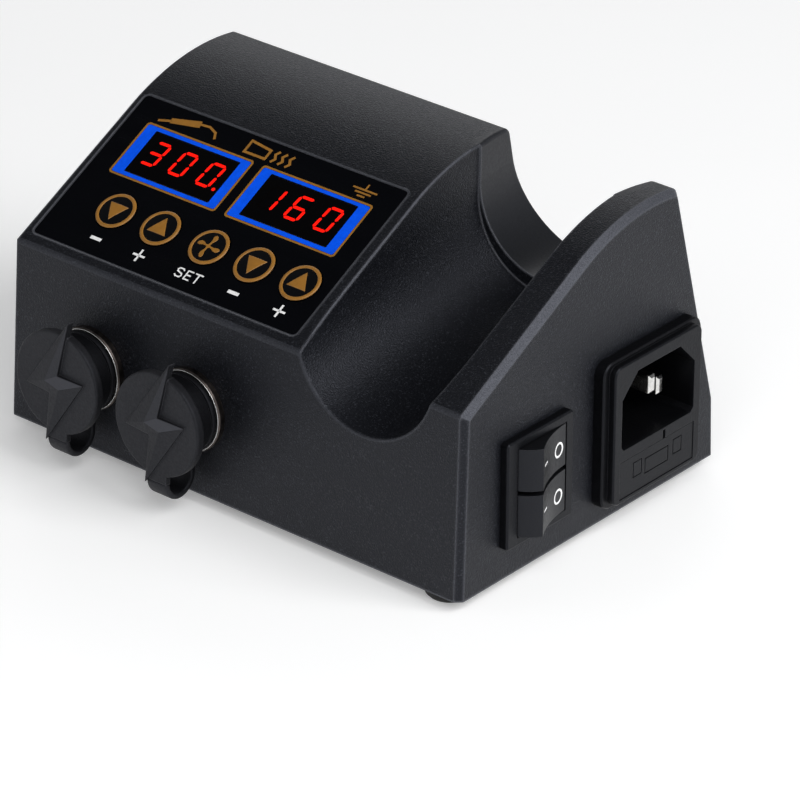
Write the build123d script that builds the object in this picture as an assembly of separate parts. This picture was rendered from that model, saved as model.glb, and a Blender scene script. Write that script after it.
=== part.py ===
from build123d import *
import math
import os

# Two-channel soldering and hot-air station: a wedge-shaped desk housing with a control slope, two
# capped tool sockets in front, a rest channel along the right side, a dual rocker switch and a mains
# inlet in the right wall.  All sizes are in millimetres.
#
# The parts are drawn in the housing's own coordinates: X to the right, with the walls' bottom edges
# at LEFT_SIDE and RIGHT_SIDE, Y to the back from the front bottom edge, Z up from the bottom edge.
# The last step moves everything so that the origin is the middle of the overall footprint, on the
# surface the feet touch.

# ------------------------------------------------------------------ housing
LEFT_SIDE = -1.1
RIGHT_SIDE = 122.9
DEPTH = 85.4
FRONT_HEIGHT = 41.1
CROWN_HEIGHT = 67.15
CROWN_RADIUS = 51.0
PANEL_ANGLE = 28.5        # control slope above the horizontal, degrees
FRONT_DRAFT = 2.1         # front wall leans back, degrees
SIDE_DRAFT = 1.0          # side walls lean in, degrees
BACK_BREAK = 14.0         # height where the back wall starts to lean forward
BACK_STEP = 0.6           # how far the lower back wall has come forward at that height
BACK_ANGLE = 15.2         # lean of the upper back wall, degrees from the vertical
WALL = 2.2
EDGE_CHAMFER = 1.4
RIDGE_ROUND = 2.5
BROW_ROUND = 1.5

# ------------------------------------------------------------------ rest channel
CHANNEL_X = 96.05
CHANNEL_RADIUS = 17.6
CHANNEL_AXIS_Z = 45.9     # height of the front section's axis at the front wall
CHANNEL_RISE = 0.17       # rise of that axis per millimetre of depth
SEAM_Y = 59.0             # the rear section, a smooth raised lip, starts here
LIP_RADIUS_FRONT = 17.2
LIP_RADIUS_BACK = 19.5
LIP_AXIS_Z = 58.6
CHANNEL_EDGE_ROUND = 0.5
LIP_EDGE_ROUND = 0.8

# ------------------------------------------------------------------ control panel, measured on the slope
PANEL_LEFT = 2.6
PANEL_RIGHT = 75.7
PANEL_LOW = 2.95
PANEL_HIGH = 44.0
PANEL_CORNER = 1.3
RECESS_DEPTH = 0.7
OVERLAY_THICKNESS = 0.55
FIT_GAP = 0.15
BUTTON_ROW = 14.9
BUTTON_XS = (17.2, 29.7, 43.2, 55.6, 68.1)
BUTTON_NAMES = ("left_down", "left_up", "set", "right_down", "right_up")
BUTTON_RADIUS = 4.6
BUTTON_GAP = 0.2
BUTTON_DOME = 0.35
BUTTON_TRAVEL = 0.35
DISPLAY_CENTRES = ((23.35, 30.5), (55.5, 30.6))
WINDOW_SIZE = (23.7, 11.4)
LENS_THICKNESS = 1.2
MODULE_SIZE = (22.8, 10.8)
BOARD_DEPTH = 9.0         # control board's upper face below the slope
BOARD_THICKNESS = 1.6
BOARD_BOSSES = ((8.0, 23.2), (72.2, 23.2), (8.0, 40.5), (72.2, 40.5))
BOSS_RADIUS = 2.6
SWITCH_PAD = 6.2          # tactile switch body, square
SWITCH_PAD_HEIGHT = 3.6

# ------------------------------------------------------------------ tool sockets, measured up the front wall
SOCKET_XS = (22.7, 50.7)
SOCKET_NAMES = ("left", "right")
SOCKET_PINS = (5, 8)
SOCKET_HEIGHT = 18.9
BARREL_RADIUS = 7.7
BARREL_FRONT = 8.2
BARREL_BACK = 12.0
FLANGE_RADIUS = 9.15
FLANGE_THICKNESS = 1.7
INSERT_RADIUS = 6.7
NUT_FLATS = 19.0
NUT_THICKNESS = 3.0
CAP_RADIUS = 11.5
CAP_BACK = 8.7            # back of the cap's disc, out from the front wall
CAP_FRONT = 10.9
CAP_SKIRT_RADIUS = 8.65
CAP_CLEARANCE = 0.3
CAP_TRAVEL = 9.0
STRAP_WIDTH = 5.4
STRAP_SHIFT = 0.4         # strap's middle, right of the socket's axis
STRAP_THICKNESS = 1.3
STRAP_DROP = 12.9         # centre of the strap's bend, below the socket's axis
COLLAR_RADIUS = 8.7
COLLAR_THICKNESS = 1.3

# ------------------------------------------------------------------ dual rocker switch, centre on the right wall
SWITCH_Y = 23.3
SWITCH_Z = 19.3
SWITCH_FRAME = (21.2, 24.0)
SWITCH_FRAME_PROUD = 2.0
SWITCH_BODY = (19.0, 22.0)
SWITCH_BODY_DEPTH = 15.0
SWITCH_OPENING_HEIGHT = 20.2
SWITCH_OPENING_SHIFT = 0.4
ROCKER_PIVOT_DEPTH = 3.6  # below the frame's front face
ROCKER_ARC = 8.35
ROCKER_WELL = 8.65        # radius of the well round the pivot
ROCKER_THROW = 35.0
ROCKER_CORNER = (6.18, 5.72)
ROCKER_HOLLOW = 0.75
ROCKER_GAP = 0.6
PIVOT_PIN_RADIUS = 0.8

# ------------------------------------------------------------------ mains inlet with fuse drawer, on the right wall
INLET_Y = 59.2
INLET_Z = 20.6
INLET_FLANGE = (32.8, 33.4)
INLET_FLANGE_PROUD = 2.6
INLET_FACE = (29.2, 31.6)
INLET_FACE_PROUD = 4.2
INLET_BODY = (27.4, 30.0)
INLET_BODY_DEPTH = 18.0
SOCKET_OPENING = (24.4, 16.8)
SOCKET_OPENING_UP = 4.7   # opening's centre above the inlet's centre
SOCKET_CORNER_CUT = 5.1
SOCKET_DEPTH = 16.5
DRAWER_SIZE = (25.0, 8.7)
DRAWER_DOWN = 10.5        # drawer's centre below the inlet's centre
DRAWER_DEPTH = 15.0
DRAWER_TRAVEL = 13.0
PIN_SIZE = (2.0, 4.0)
PIN_SPREAD = 7.0
EARTH_PIN_LENGTH = 15.0
POWER_PIN_LENGTH = 11.8

# ------------------------------------------------------------------ bottom, boards and fasteners
COVER_BOTTOM = 0.6
COVER_THICKNESS = 1.6
COVER_GAP = 0.3
FOOT_RADIUS = 5.0
FOOT_DROP = 2.5           # feet below the housing's bottom edge
FOOT_PAD_RADIUS = 3.5     # part of the foot that reaches the cover
FOOT_INSET_LEFT = 14.0
FOOT_INSET_RIGHT = 7.5
FOOT_INSET_Y = 6.2
COVER_BOSSES = ((36.7, 6.0), (106.9, 6.0), (26.0, 79.2), (103.9, 79.2))
COVER_BOSS_RADIUS = 3.4
COVER_BOSS_TOP = 14.0
POWER_BOARD = (8.0, 22.0, 86.0, 75.0)
POWER_BOARD_HEIGHT = 8.0
STANDOFFS = ((12.0, 26.0), (82.0, 26.0), (12.0, 71.0), (82.0, 71.0))
SCREW_RADIUS = 1.5
PILOT_RADIUS = 1.6
HEAD_RADIUS = 2.75
HEAD_HEIGHT = 1.8

# ------------------------------------------------------------------ derived places
SLOPE = math.radians(PANEL_ANGLE)
FRONT_LEAN = math.tan(math.radians(FRONT_DRAFT))
SIDE_LEAN = math.tan(math.radians(SIDE_DRAFT))
BACK_LEAN = math.tan(math.radians(BACK_ANGLE))
PANEL_START = (FRONT_HEIGHT * FRONT_LEAN, FRONT_HEIGHT)
CROWN_Z = CROWN_HEIGHT - CROWN_RADIUS
CROWN_Y = PANEL_START[0] + (CROWN_RADIUS + math.cos(SLOPE) * (CROWN_Z - FRONT_HEIGHT)) / math.sin(SLOPE)
COVER_TOP = COVER_BOTTOM + COVER_THICKNESS
WIDTH = RIGHT_SIDE - LEFT_SIDE
MIDDLE_X = (LEFT_SIDE + RIGHT_SIDE) / 2

PANEL_PLANE = Plane(origin=(0, *PANEL_START), x_dir=(1, 0, 0), z_dir=(0, -math.sin(SLOPE), math.cos(SLOPE)))
FRONT_PLANE = Plane(origin=(0, 0, 0), x_dir=(1, 0, 0), z_dir=(0, -1, FRONT_LEAN))
SIDE_PLANE = Plane(origin=(RIGHT_SIDE, 0, 0), x_dir=(0, 1, 0), z_dir=(1, 0, SIDE_LEAN))


def on_panel(x, up, out=0.0):
    """Place on the control slope: x across, up the slope, out of its surface."""
    return PANEL_PLANE.location * Pos(x, up, out)


def on_front(x, up, out=0.0):
    """Place on the front wall: x across, up the wall, out to the front."""
    return FRONT_PLANE.location * Pos(x, up, out)


def on_side(back, up, out=0.0):
    """Place on the right wall: back along it, up the wall, out to the right."""
    return SIDE_PLANE.location * Pos(back, up, out)


def block(size_x, size_y, low, high):
    """Box centred on its own axis, from one height to another."""
    return Pos(0, 0, (low + high) / 2) * Box(size_x, size_y, high - low)


def rounded_block(size_x, size_y, low, high, radius):
    """Block with rounded upright edges."""
    return Pos(0, 0, low) * extrude(RectangleRounded(size_x, size_y, radius), high - low)


def disc(radius, low, high):
    """Cylinder about the vertical axis, from one height to another."""
    return Pos(0, 0, (low + high) / 2) * Cylinder(radius, high - low)


def ring(outer, inner, low, high):
    """Tube about the vertical axis."""
    return disc(outer, low, high) - disc(inner, low - 1, high + 1)


# ------------------------------------------------------------------ housing shell
def side_outline(floor=0.0):
    """Outline of the housing from the side, with the front and back walls carried down to floor."""
    lean = math.atan(BACK_LEAN)
    break_y = DEPTH - BACK_STEP
    reach = (break_y + (BACK_BREAK - CROWN_Z) * BACK_LEAN - CROWN_Y) * math.cos(lean) / CROWN_RADIUS
    ridge_angle = math.asin(reach) - lean
    start = (floor * FRONT_LEAN, floor)
    tangent = (CROWN_Y - CROWN_RADIUS * math.sin(SLOPE), CROWN_Z + CROWN_RADIUS * math.cos(SLOPE))
    ridge = (CROWN_Y + CROWN_RADIUS * math.sin(ridge_angle), CROWN_Z + CROWN_RADIUS * math.cos(ridge_angle))
    back_break = (break_y, BACK_BREAK)
    back_end = (DEPTH - BACK_STEP * floor / BACK_BREAK, floor)
    crown = ThreePointArc(tangent, (CROWN_Y, CROWN_HEIGHT), ridge)
    lines = [
        Line(start, PANEL_START),
        Line(PANEL_START, tangent),
        crown,
        Line(ridge, back_break),
        Line(back_break, back_end),
        Line(back_end, start),
    ]
    face = make_face(lines)
    return fillet(face.vertices().sort_by_distance(Vector(*ridge))[0], RIDGE_ROUND)


def between_sides(solid, inset, floor):
    """Trim a solid to the space between the two leaning side walls."""
    top = CROWN_HEIGHT + 5
    corners = [
        (LEFT_SIDE + inset + floor * SIDE_LEAN, floor),
        (RIGHT_SIDE - inset - floor * SIDE_LEAN, floor),
        (RIGHT_SIDE - inset - top * SIDE_LEAN, top),
        (LEFT_SIDE + inset + top * SIDE_LEAN, top),
    ]
    wedge = extrude(Plane.XZ * make_face(Polyline(*corners, close=True)), -DEPTH - 10)
    wedge = Pos(0, -5, 0) * wedge
    return solid & wedge


def outer_body():
    """Solid block of the housing's outside shape, its side faces edged with a chamfer."""
    body = extrude(Plane.YZ.offset(LEFT_SIDE) * side_outline(), WIDTH)
    body = between_sides(body, 0.0, 0.0)
    rims = []
    for face in body.faces().sort_by(Axis.X)[0], body.faces().sort_by(Axis.X)[-1]:
        rims += [edge for edge in face.edges() if edge.center().Z > 1.0]
    body = chamfer(rims, EDGE_CHAMFER)
    brow = body.edges().sort_by_distance(Vector(MIDDLE_X, *PANEL_START))[0]
    return fillet(brow, BROW_ROUND)


def inner_space():
    """Hollow of the housing, open at the bottom."""
    floor = -6.0
    face = offset(side_outline(floor), -WALL, kind=Kind.INTERSECTION)
    space = extrude(Plane.YZ.offset(LEFT_SIDE) * face, WIDTH)
    return between_sides(space, WALL, floor)


def channel_section(radius, y, axis_z, top=60.0):
    """U-shaped section of the rest channel: a half round with upright sides."""
    plane = Plane(origin=(CHANNEL_X, y, axis_z), x_dir=(1, 0, 0), z_dir=(0, -1, 0))
    return plane * (Circle(radius) + Pos(0, top / 2) * Rectangle(2 * radius, top))


def channel(grow, start, end):
    """Front section of the channel, which climbs to the back; grow adds its wall."""
    axis_z = CHANNEL_AXIS_Z + CHANNEL_RISE * start
    length = (end - start) * math.hypot(1, CHANNEL_RISE)
    section = channel_section(CHANNEL_RADIUS + grow, start, axis_z)
    return extrude(section, length, dir=(0, 1, CHANNEL_RISE))


def channel_lip(grow, end):
    """Rear section of the channel: level, a little higher, and widening to the back."""
    near = channel_section(LIP_RADIUS_FRONT + grow, SEAM_Y, LIP_AXIS_Z)
    widening = (LIP_RADIUS_BACK - LIP_RADIUS_FRONT) * (end - SEAM_Y) / (DEPTH - 10 - SEAM_Y)
    far = channel_section(LIP_RADIUS_FRONT + widening + grow, end, LIP_AXIS_Z)
    return loft([near.face(), far.face()], ruled=True)


def cover_bosses():
    """Screw bosses for the bottom cover, each tied to the wall beside it by a rib."""
    bosses = Part()
    for x, y in COVER_BOSSES:
        wall_y = 1.5 if y < DEPTH / 2 else DEPTH - 1.5
        bosses += Pos(x, y, 0) * disc(COVER_BOSS_RADIUS, COVER_TOP, COVER_BOSS_TOP)
        rib = Box(2 * COVER_BOSS_RADIUS, abs(wall_y - y), COVER_BOSS_TOP - COVER_TOP)
        bosses += Pos(x, (y + wall_y) / 2, (COVER_TOP + COVER_BOSS_TOP) / 2) * rib
    return bosses


def back_vents():
    """Row of upright slots through the leaning back wall."""
    slots = Part()
    for step in range(9):
        slots += Pos(14 + 6 * step, DEPTH - 6, 33) * (Rot(90, 0, 0) * rounded_block(2.4, 18, -12, 12, 1.19))
    return slots


def outside_shape():
    """Solid block with the rest channel cut in and the channel's edges rounded."""
    block_shape = outer_body()
    cutter = channel(0, -2, SEAM_Y)
    body = block_shape - cutter
    rims = [edge for edge in new_edges(block_shape, cutter, combined=body) if edge.center().Y < SEAM_Y - 1]
    body = fillet(rims, CHANNEL_EDGE_ROUND)
    lip = channel_lip(0, DEPTH + 2)
    lipped = body - lip
    rims = [edge for edge in new_edges(body, lip, combined=lipped) if edge.center().Z > LIP_AXIS_Z + 1]
    return fillet(rims, LIP_EDGE_ROUND)


def main_shell():
    """One-piece moulding: front, sides, back, control slope, crown, rest channel and fin."""
    channel_walls = channel(WALL, -2, SEAM_Y + WALL) + channel_lip(WALL, DEPTH + 2)
    hollow = inner_space() - channel_walls
    shell = outside_shape() - hollow
    for x, up in BOARD_BOSSES:
        shell += on_panel(x, up) * disc(BOSS_RADIUS, -BOARD_DEPTH, -WALL / 2)
    shell += cover_bosses()
    shell -= on_panel(*panel_centre()) * rounded_block(*panel_size(), -RECESS_DEPTH, 3, PANEL_CORNER)
    for x, up in DISPLAY_CENTRES:
        shell -= on_panel(x, up) * block(WINDOW_SIZE[0] + 0.4, WINDOW_SIZE[1] + 0.4, -WALL - 2, 1)
    for x in BUTTON_XS:
        shell -= on_panel(x, BUTTON_ROW) * disc(BUTTON_RADIUS + BUTTON_GAP, -WALL - 1, 1)
    for x, up in BOARD_BOSSES:
        shell -= on_panel(x, up) * disc(PILOT_RADIUS, -BOARD_DEPTH - 1, -BOARD_DEPTH + 5)
    for x in SOCKET_XS:
        shell -= on_front(x, SOCKET_HEIGHT) * disc(BARREL_RADIUS + FIT_GAP, -WALL - 3, 3)
    shell -= on_side(SWITCH_Y, SWITCH_Z) * block(SWITCH_BODY[0] + 0.3, SWITCH_BODY[1] + 0.3, -WALL - 3, 3)
    shell -= on_side(INLET_Y, INLET_Z) * block(INLET_BODY[0] + 0.3, INLET_BODY[1] + 0.3, -WALL - 3, 3)
    shell -= back_vents()
    for x, y in COVER_BOSSES:
        shell -= Pos(x, y, 0) * disc(PILOT_RADIUS, COVER_TOP - 1, COVER_BOSS_TOP - 2)
    return shell


# ------------------------------------------------------------------ bottom cover, feet and screws
def bottom_cover():
    """Moulded cover set into the bottom opening, with vent slots and standoffs for the power board."""
    low_y = WALL + COVER_GAP + 0.1
    size = (WIDTH - 2 * (WALL + COVER_GAP + 0.1), DEPTH - 2 * (WALL + COVER_GAP + 0.1))
    cover = Pos(MIDDLE_X, low_y + size[1] / 2) * rounded_block(*size, COVER_BOTTOM, COVER_TOP, 1.0)
    for x, y in STANDOFFS:
        cover += Pos(x, y) * disc(3.0, COVER_TOP - 0.2, POWER_BOARD_HEIGHT)
        cover -= Pos(x, y) * disc(PILOT_RADIUS, POWER_BOARD_HEIGHT - 4.5, POWER_BOARD_HEIGHT + 1)
    for x, y in COVER_BOSSES:
        cover -= Pos(x, y) * disc(SCREW_RADIUS + 0.3, 0, COVER_TOP + 1)
    for step in range(8):
        cover -= Pos(26 + 6.2 * step, 42) * rounded_block(2.6, 30, 0, COVER_TOP + 1, 1.29)
    return cover


def foot_places():
    """Centres of the four feet."""
    columns = (LEFT_SIDE + FOOT_INSET_LEFT, RIGHT_SIDE - FOOT_INSET_RIGHT)
    return [(x, y) for x in columns for y in (FOOT_INSET_Y, DEPTH - FOOT_INSET_Y)]


def rubber_feet():
    """Four round stick-on feet with a softened lower edge."""
    feet = []
    for x, y in foot_places():
        foot = disc(FOOT_RADIUS, -FOOT_DROP, 0.0)
        foot = chamfer(foot.edges().sort_by(Axis.Z)[0], 0.6) + disc(FOOT_PAD_RADIUS, -0.5, COVER_BOTTOM)
        feet.append(Pos(x, y) * foot)
    return Compound(feet)


def screw(length):
    """Pan-head cross-recess screw: underside of the head at zero, shank up the axis."""
    body = disc(HEAD_RADIUS, -HEAD_HEIGHT, 0)
    body = fillet(body.edges().sort_by(Axis.Z)[0], 0.9)
    body += disc(SCREW_RADIUS, -0.2, length)
    for turn in (0, 90):
        body -= Rot(0, 0, turn) * block(2.8, 0.7, -HEAD_HEIGHT - 1, -HEAD_HEIGHT + 0.9)
    return body


def cover_screws():
    """Four screws that hold the bottom cover to the shell."""
    return Compound([Pos(x, y, COVER_BOTTOM) * screw(8.5) for x, y in COVER_BOSSES])


def board_screws():
    """Eight short screws: four under the control board and four on the power board."""
    under = -BOARD_DEPTH - BOARD_THICKNESS
    screws = [on_panel(x, up, under) * screw(5.0) for x, up in BOARD_BOSSES]
    top = POWER_BOARD_HEIGHT + BOARD_THICKNESS
    screws += [Pos(x, y, top) * Rot(180, 0, 0) * screw(5.0) for x, y in STANDOFFS]
    return Compound(screws)


# ------------------------------------------------------------------ control panel
def panel_centre():
    """Middle of the panel recess on the slope."""
    return (PANEL_LEFT + PANEL_RIGHT) / 2, (PANEL_LOW + PANEL_HIGH) / 2


def panel_size():
    """Width and height of the panel recess."""
    return PANEL_RIGHT - PANEL_LEFT, PANEL_HIGH - PANEL_LOW


def panel_overlay():
    """Printed face sheet in the slope's recess, open at the windows and the buttons."""
    size_x, size_y = panel_size()
    sheet = rounded_block(size_x - 2 * FIT_GAP, size_y - 2 * FIT_GAP, 0, OVERLAY_THICKNESS, PANEL_CORNER - FIT_GAP)
    sheet = on_panel(*panel_centre(), -RECESS_DEPTH) * sheet
    for x, up in DISPLAY_CENTRES:
        sheet -= on_panel(x, up) * block(WINDOW_SIZE[0] + 0.1, WINDOW_SIZE[1] + 0.1, -2, 1)
    for x in BUTTON_XS:
        sheet -= on_panel(x, BUTTON_ROW) * disc(BUTTON_RADIUS + BUTTON_GAP, -2, 1)
    return sheet


def display_windows():
    """Two dark lenses, one in front of each display."""
    top = -RECESS_DEPTH + OVERLAY_THICKNESS
    return Compound([on_panel(x, up) * block(*WINDOW_SIZE, top - LENS_THICKNESS, top) for x, up in DISPLAY_CENTRES])


def display_module(centre):
    """Three-digit display block between the control board and its lens."""
    top = -RECESS_DEPTH + OVERLAY_THICKNESS - LENS_THICKNESS
    return on_panel(*centre) * block(*MODULE_SIZE, -BOARD_DEPTH, top)


def button(x):
    """Push button: low domed cap, a retaining flange under the slope and a stem into its switch."""
    edge = BUTTON_RADIUS
    rim = 0.05
    under = -WALL - 0.25
    dome_radius = (edge**2 + BUTTON_DOME**2) / (2 * BUTTON_DOME)
    profile = make_face([
        Line((0, under - 4.0), (1.5, under - 4.0)),
        Line((1.5, under - 4.0), (1.5, under - 0.9)),
        Line((1.5, under - 0.9), (edge + 1.0, under - 0.9)),
        Line((edge + 1.0, under - 0.9), (edge + 1.0, under)),
        Line((edge + 1.0, under), (edge, under)),
        Line((edge, under), (edge, rim)),
        RadiusArc((edge, rim), (0, rim + BUTTON_DOME), -dome_radius),
        Line((0, rim + BUTTON_DOME), (0, under - 4.0)),
    ])
    return on_panel(x, BUTTON_ROW) * revolve(Plane.XZ * profile, Axis.Z)


def tact_switches():
    """Five tactile switch bodies on the control board, each with a well for its button's stem."""
    top = -BOARD_DEPTH + SWITCH_PAD_HEIGHT
    pads = []
    for x in BUTTON_XS:
        pad = block(SWITCH_PAD, SWITCH_PAD, -BOARD_DEPTH, top) - disc(1.8, top - 2.4, top + 1)
        pads.append(on_panel(x, BUTTON_ROW) * pad)
    return Compound(pads)


def control_board():
    """Circuit board parallel to the slope, hung from four bosses."""
    left, right, low, high = 5.2, 75.0, 4.0, 43.5
    board = on_panel((left + right) / 2, (low + high) / 2) * rounded_block(
        right - left, high - low, -BOARD_DEPTH - BOARD_THICKNESS, -BOARD_DEPTH, 1.5
    )
    for x, up in BOARD_BOSSES:
        board -= on_panel(x, up) * disc(SCREW_RADIUS + 0.15, -BOARD_DEPTH - 3, -BOARD_DEPTH + 1)
    return board


def control_chips():
    """Controller, driver chip, buzzer and cable socket under the control board."""
    under = -BOARD_DEPTH - BOARD_THICKNESS
    return Compound([
        on_panel(28, 30) * block(10, 10, under - 1.6, under),
        on_panel(50, 31) * block(8, 5.5, under - 1.5, under),
        on_panel(17, 12) * disc(4.5, under - 5.0, under),
        on_panel(40, 12) * block(16, 5, under - 5.5, under),
    ])


# ------------------------------------------------------------------ tool sockets and their caps
def socket_shell(x):
    """Metal socket body: outer flange, barrel through the front wall, room for the insert."""
    shell = disc(FLANGE_RADIUS, 0, FLANGE_THICKNESS)
    shell = chamfer(shell.edges().sort_by(Axis.Z)[-1], 0.35)
    shell += disc(BARREL_RADIUS, -BARREL_BACK, BARREL_FRONT)
    shell -= disc(INSERT_RADIUS, -BARREL_BACK - 1, BARREL_FRONT + 1)
    shell -= block(2.2, 1.2, 2.5, BARREL_FRONT + 1).moved(Pos(0, INSERT_RADIUS, 0))
    return on_front(x, SOCKET_HEIGHT) * shell


def socket_insert(x):
    """Insulating disc that carries the contact pins."""
    return on_front(x, SOCKET_HEIGHT) * disc(INSERT_RADIUS - 0.02, -8.0, 1.5)


def pin_places(count):
    """Contact pins evenly round a circle, with one more in the middle of the larger set."""
    circle = count - 1 if count > 6 else count
    places = [(4.3 * math.cos(2 * math.pi * n / circle), 4.3 * math.sin(2 * math.pi * n / circle)) for n in range(circle)]
    if count > circle:
        places.append((0.0, 0.0))
    return places


def socket_pins(x, count):
    """Round contact pins standing out of the insert at both ends."""
    front = on_front(x, SOCKET_HEIGHT)
    pins = []
    for px, py in pin_places(count):
        pin = disc(0.75, 1.5, 6.5) + disc(0.75, -11.0, -8.0)
        pins += [front * Pos(px, py, 0) * piece for piece in pin.solids()]
    return Compound(pins)


def socket_nuts():
    """Hexagon nuts that clamp the sockets from inside the front wall."""
    nuts = []
    for x in SOCKET_XS:
        hexagon = RegularPolygon(NUT_FLATS / 2, 6, major_radius=False) - Circle(BARREL_RADIUS + 0.02)
        nuts.append(on_front(x, SOCKET_HEIGHT, -WALL - 0.02 - NUT_THICKNESS) * extrude(hexagon, NUT_THICKNESS))
    return Compound(nuts)


# Corners of the cap's lightning-shaped grip: across, up, and height above the cap's face.
GRIP_TIP = (3.6, 14.9, 0.5)
GRIP_LOW_TIP = (-2.3, -13.6, 0.5)
GRIP_WAIST = (1.0, 2.2, 0.95)
GRIP_WING = (7.9, 2.0, 0.5)
GRIP_RIDGE = (-2.06, 0.47, 1.5)


def half_turn(corner):
    """The matching corner on the grip's other half."""
    return (-corner[0], -corner[1], corner[2])


def faceted_grip():
    """Crisp faceted grip: upright walls, and a roof that rises to a short ridge in the middle."""
    outline = [GRIP_TIP, GRIP_WAIST, GRIP_WING, GRIP_LOW_TIP, half_turn(GRIP_WAIST), half_turn(GRIP_WING)]
    edge = [Vector(x, y, CAP_FRONT + z) for x, y, z in outline]
    base = [Vector(x, y, CAP_FRONT - 1.3) for x, y, z in outline]
    tip, waist, wing, low_tip, low_waist, low_wing = edge
    left, right = [Vector(x, y, CAP_FRONT + z) for x, y, z in (GRIP_RIDGE, half_turn(GRIP_RIDGE))]
    facets = [
        (tip, waist, left),
        (waist, right, left),
        (waist, wing, right),
        (wing, low_tip, right),
        (low_tip, low_waist, right),
        (low_waist, left, right),
        (low_waist, low_wing, left),
        (low_wing, tip, left),
        tuple(base),
    ]
    for i in range(6):
        following = (i + 1) % 6
        facets.append((base[i], base[following], edge[following], edge[i]))
    return Solid(Shell([Face(Wire.make_polygon(points, close=True)) for points in facets]))


def dust_cap(x):
    """Rubber cap: round face, skirt over the socket's barrel, faceted grip with a pull tab."""
    cap = disc(CAP_RADIUS, CAP_BACK, CAP_FRONT)
    cap = fillet(cap.edges().filter_by(GeomType.CIRCLE), 0.5)
    cap += ring(CAP_SKIRT_RADIUS, BARREL_RADIUS + CAP_CLEARANCE, skirt_start(), CAP_BACK + 0.5)
    over_strap = Pos(0, -STRAP_DROP - 5, 0) * block(2 * CAP_RADIUS, 10, 0, CAP_FRONT + 0.02)
    cap += faceted_grip() - over_strap
    tab_top = -CAP_RADIUS + 2.5
    tab = Pos(STRAP_SHIFT, (tab_top - STRAP_DROP) / 2, 0) * block(
        STRAP_WIDTH, tab_top + STRAP_DROP, CAP_FRONT - STRAP_THICKNESS, CAP_FRONT
    )
    return on_front(x, SOCKET_HEIGHT) * (cap + tab)


def skirt_start():
    """Where the cap's skirt begins, in front of the strap's collar."""
    return FLANGE_THICKNESS + COLLAR_THICKNESS + 0.5


def cap_strap(x):
    """Rubber strap: a collar round the barrel and a U-shaped band down to the cap's lower edge."""
    collar_low = FLANGE_THICKNESS + 0.1
    collar = ring(COLLAR_RADIUS, BARREL_RADIUS + 0.02, collar_low, collar_low + COLLAR_THICKNESS)
    outer = (CAP_FRONT - collar_low) / 2
    middle = collar_low + outer
    bend = Circle(outer) - Circle(outer - STRAP_THICKNESS)
    bend &= Pos(0, -outer / 2) * Rectangle(2 * outer, outer)
    rise = STRAP_DROP - COLLAR_RADIUS + 1.0
    bend += Pos(-outer + STRAP_THICKNESS / 2, rise / 2) * Rectangle(STRAP_THICKNESS, rise)
    across = Plane(origin=(STRAP_SHIFT + STRAP_WIDTH / 2, -STRAP_DROP, middle), x_dir=(0, 0, 1), z_dir=(-1, 0, 0))
    band = extrude(across * bend, STRAP_WIDTH)
    return on_front(x, SOCKET_HEIGHT) * (collar + band)


# ------------------------------------------------------------------ dual rocker switch
def switch_housing():
    """Switch frame and body with one well for both rockers and a thin divider between them."""
    frame = rounded_block(*SWITCH_FRAME, 0, SWITCH_FRAME_PROUD, 0.8)
    frame = chamfer(frame.faces().sort_by(Axis.Z)[-1].edges(), 0.35)
    frame += block(*SWITCH_BODY, -SWITCH_BODY_DEPTH, 0.5)
    pivot = Pos(SWITCH_OPENING_SHIFT, 0, pivot_out()) * Rot(90, 0, 0)
    frame -= pivot * Cylinder(ROCKER_WELL, SWITCH_OPENING_HEIGHT)
    divider = block(2 * ROCKER_WELL, ROCKER_GAP, -ROCKER_WELL, 1.6) & Rot(90, 0, 0) * Cylinder(ROCKER_WELL + 0.2, 2)
    frame += Pos(SWITCH_OPENING_SHIFT, 0, pivot_out()) * divider
    frame -= pivot * Cylinder(PIVOT_PIN_RADIUS + 0.04, SWITCH_FRAME[1] - 1.6)
    return on_side(SWITCH_Y, SWITCH_Z) * frame


def pivot_out():
    """Height of the rocker pivot, out from the wall."""
    return SWITCH_FRAME_PROUD - ROCKER_PIVOT_DEPTH


def rocker_pin():
    """Steel pin on which both rockers turn."""
    pin = Rot(90, 0, 0) * Cylinder(PIVOT_PIN_RADIUS, SWITCH_FRAME[1] - 1.8)
    return on_side(SWITCH_Y + SWITCH_OPENING_SHIFT, SWITCH_Z, pivot_out()) * pin


def rocker(up):
    """Rocker with a hollowed face, drawn level and then set to its off position, front end out."""
    corner_x, corner_y = ROCKER_CORNER
    low = -2.2
    side_y = -1.0
    side_x = math.sqrt(ROCKER_ARC**2 - side_y**2)
    mid = math.hypot(corner_x, corner_y)
    half = math.atan2(corner_y, corner_x) / 2
    arc_mid = (ROCKER_ARC * math.cos(half), ROCKER_ARC * math.sin(half))
    top_x = corner_x * ROCKER_ARC / mid
    top_y = corner_y * ROCKER_ARC / mid
    profile = make_face([
        ThreePointArc((-top_x, top_y), (0, top_y - ROCKER_HOLLOW), (top_x, top_y)),
        ThreePointArc((top_x, top_y), arc_mid, (side_x, side_y)),
        Line((side_x, side_y), (2.2, low)),
        Line((2.2, low), (-2.2, low)),
        Line((-2.2, low), (-side_x, side_y)),
        ThreePointArc((-side_x, side_y), (-arc_mid[0], arc_mid[1]), (-top_x, top_y)),
    ])
    profile -= Circle(PIVOT_PIN_RADIUS + 0.06)
    height = SWITCH_OPENING_HEIGHT / 2 - ROCKER_GAP / 2 - 0.4
    body = extrude(Plane.XZ * profile, height / 2, both=True)
    body = Rot(0, ROCKER_THROW / 2, 0) * body
    centre = SWITCH_OPENING_HEIGHT / 4 + ROCKER_GAP / 4
    return on_side(SWITCH_Y + SWITCH_OPENING_SHIFT, SWITCH_Z + up * centre, pivot_out()) * body


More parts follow.
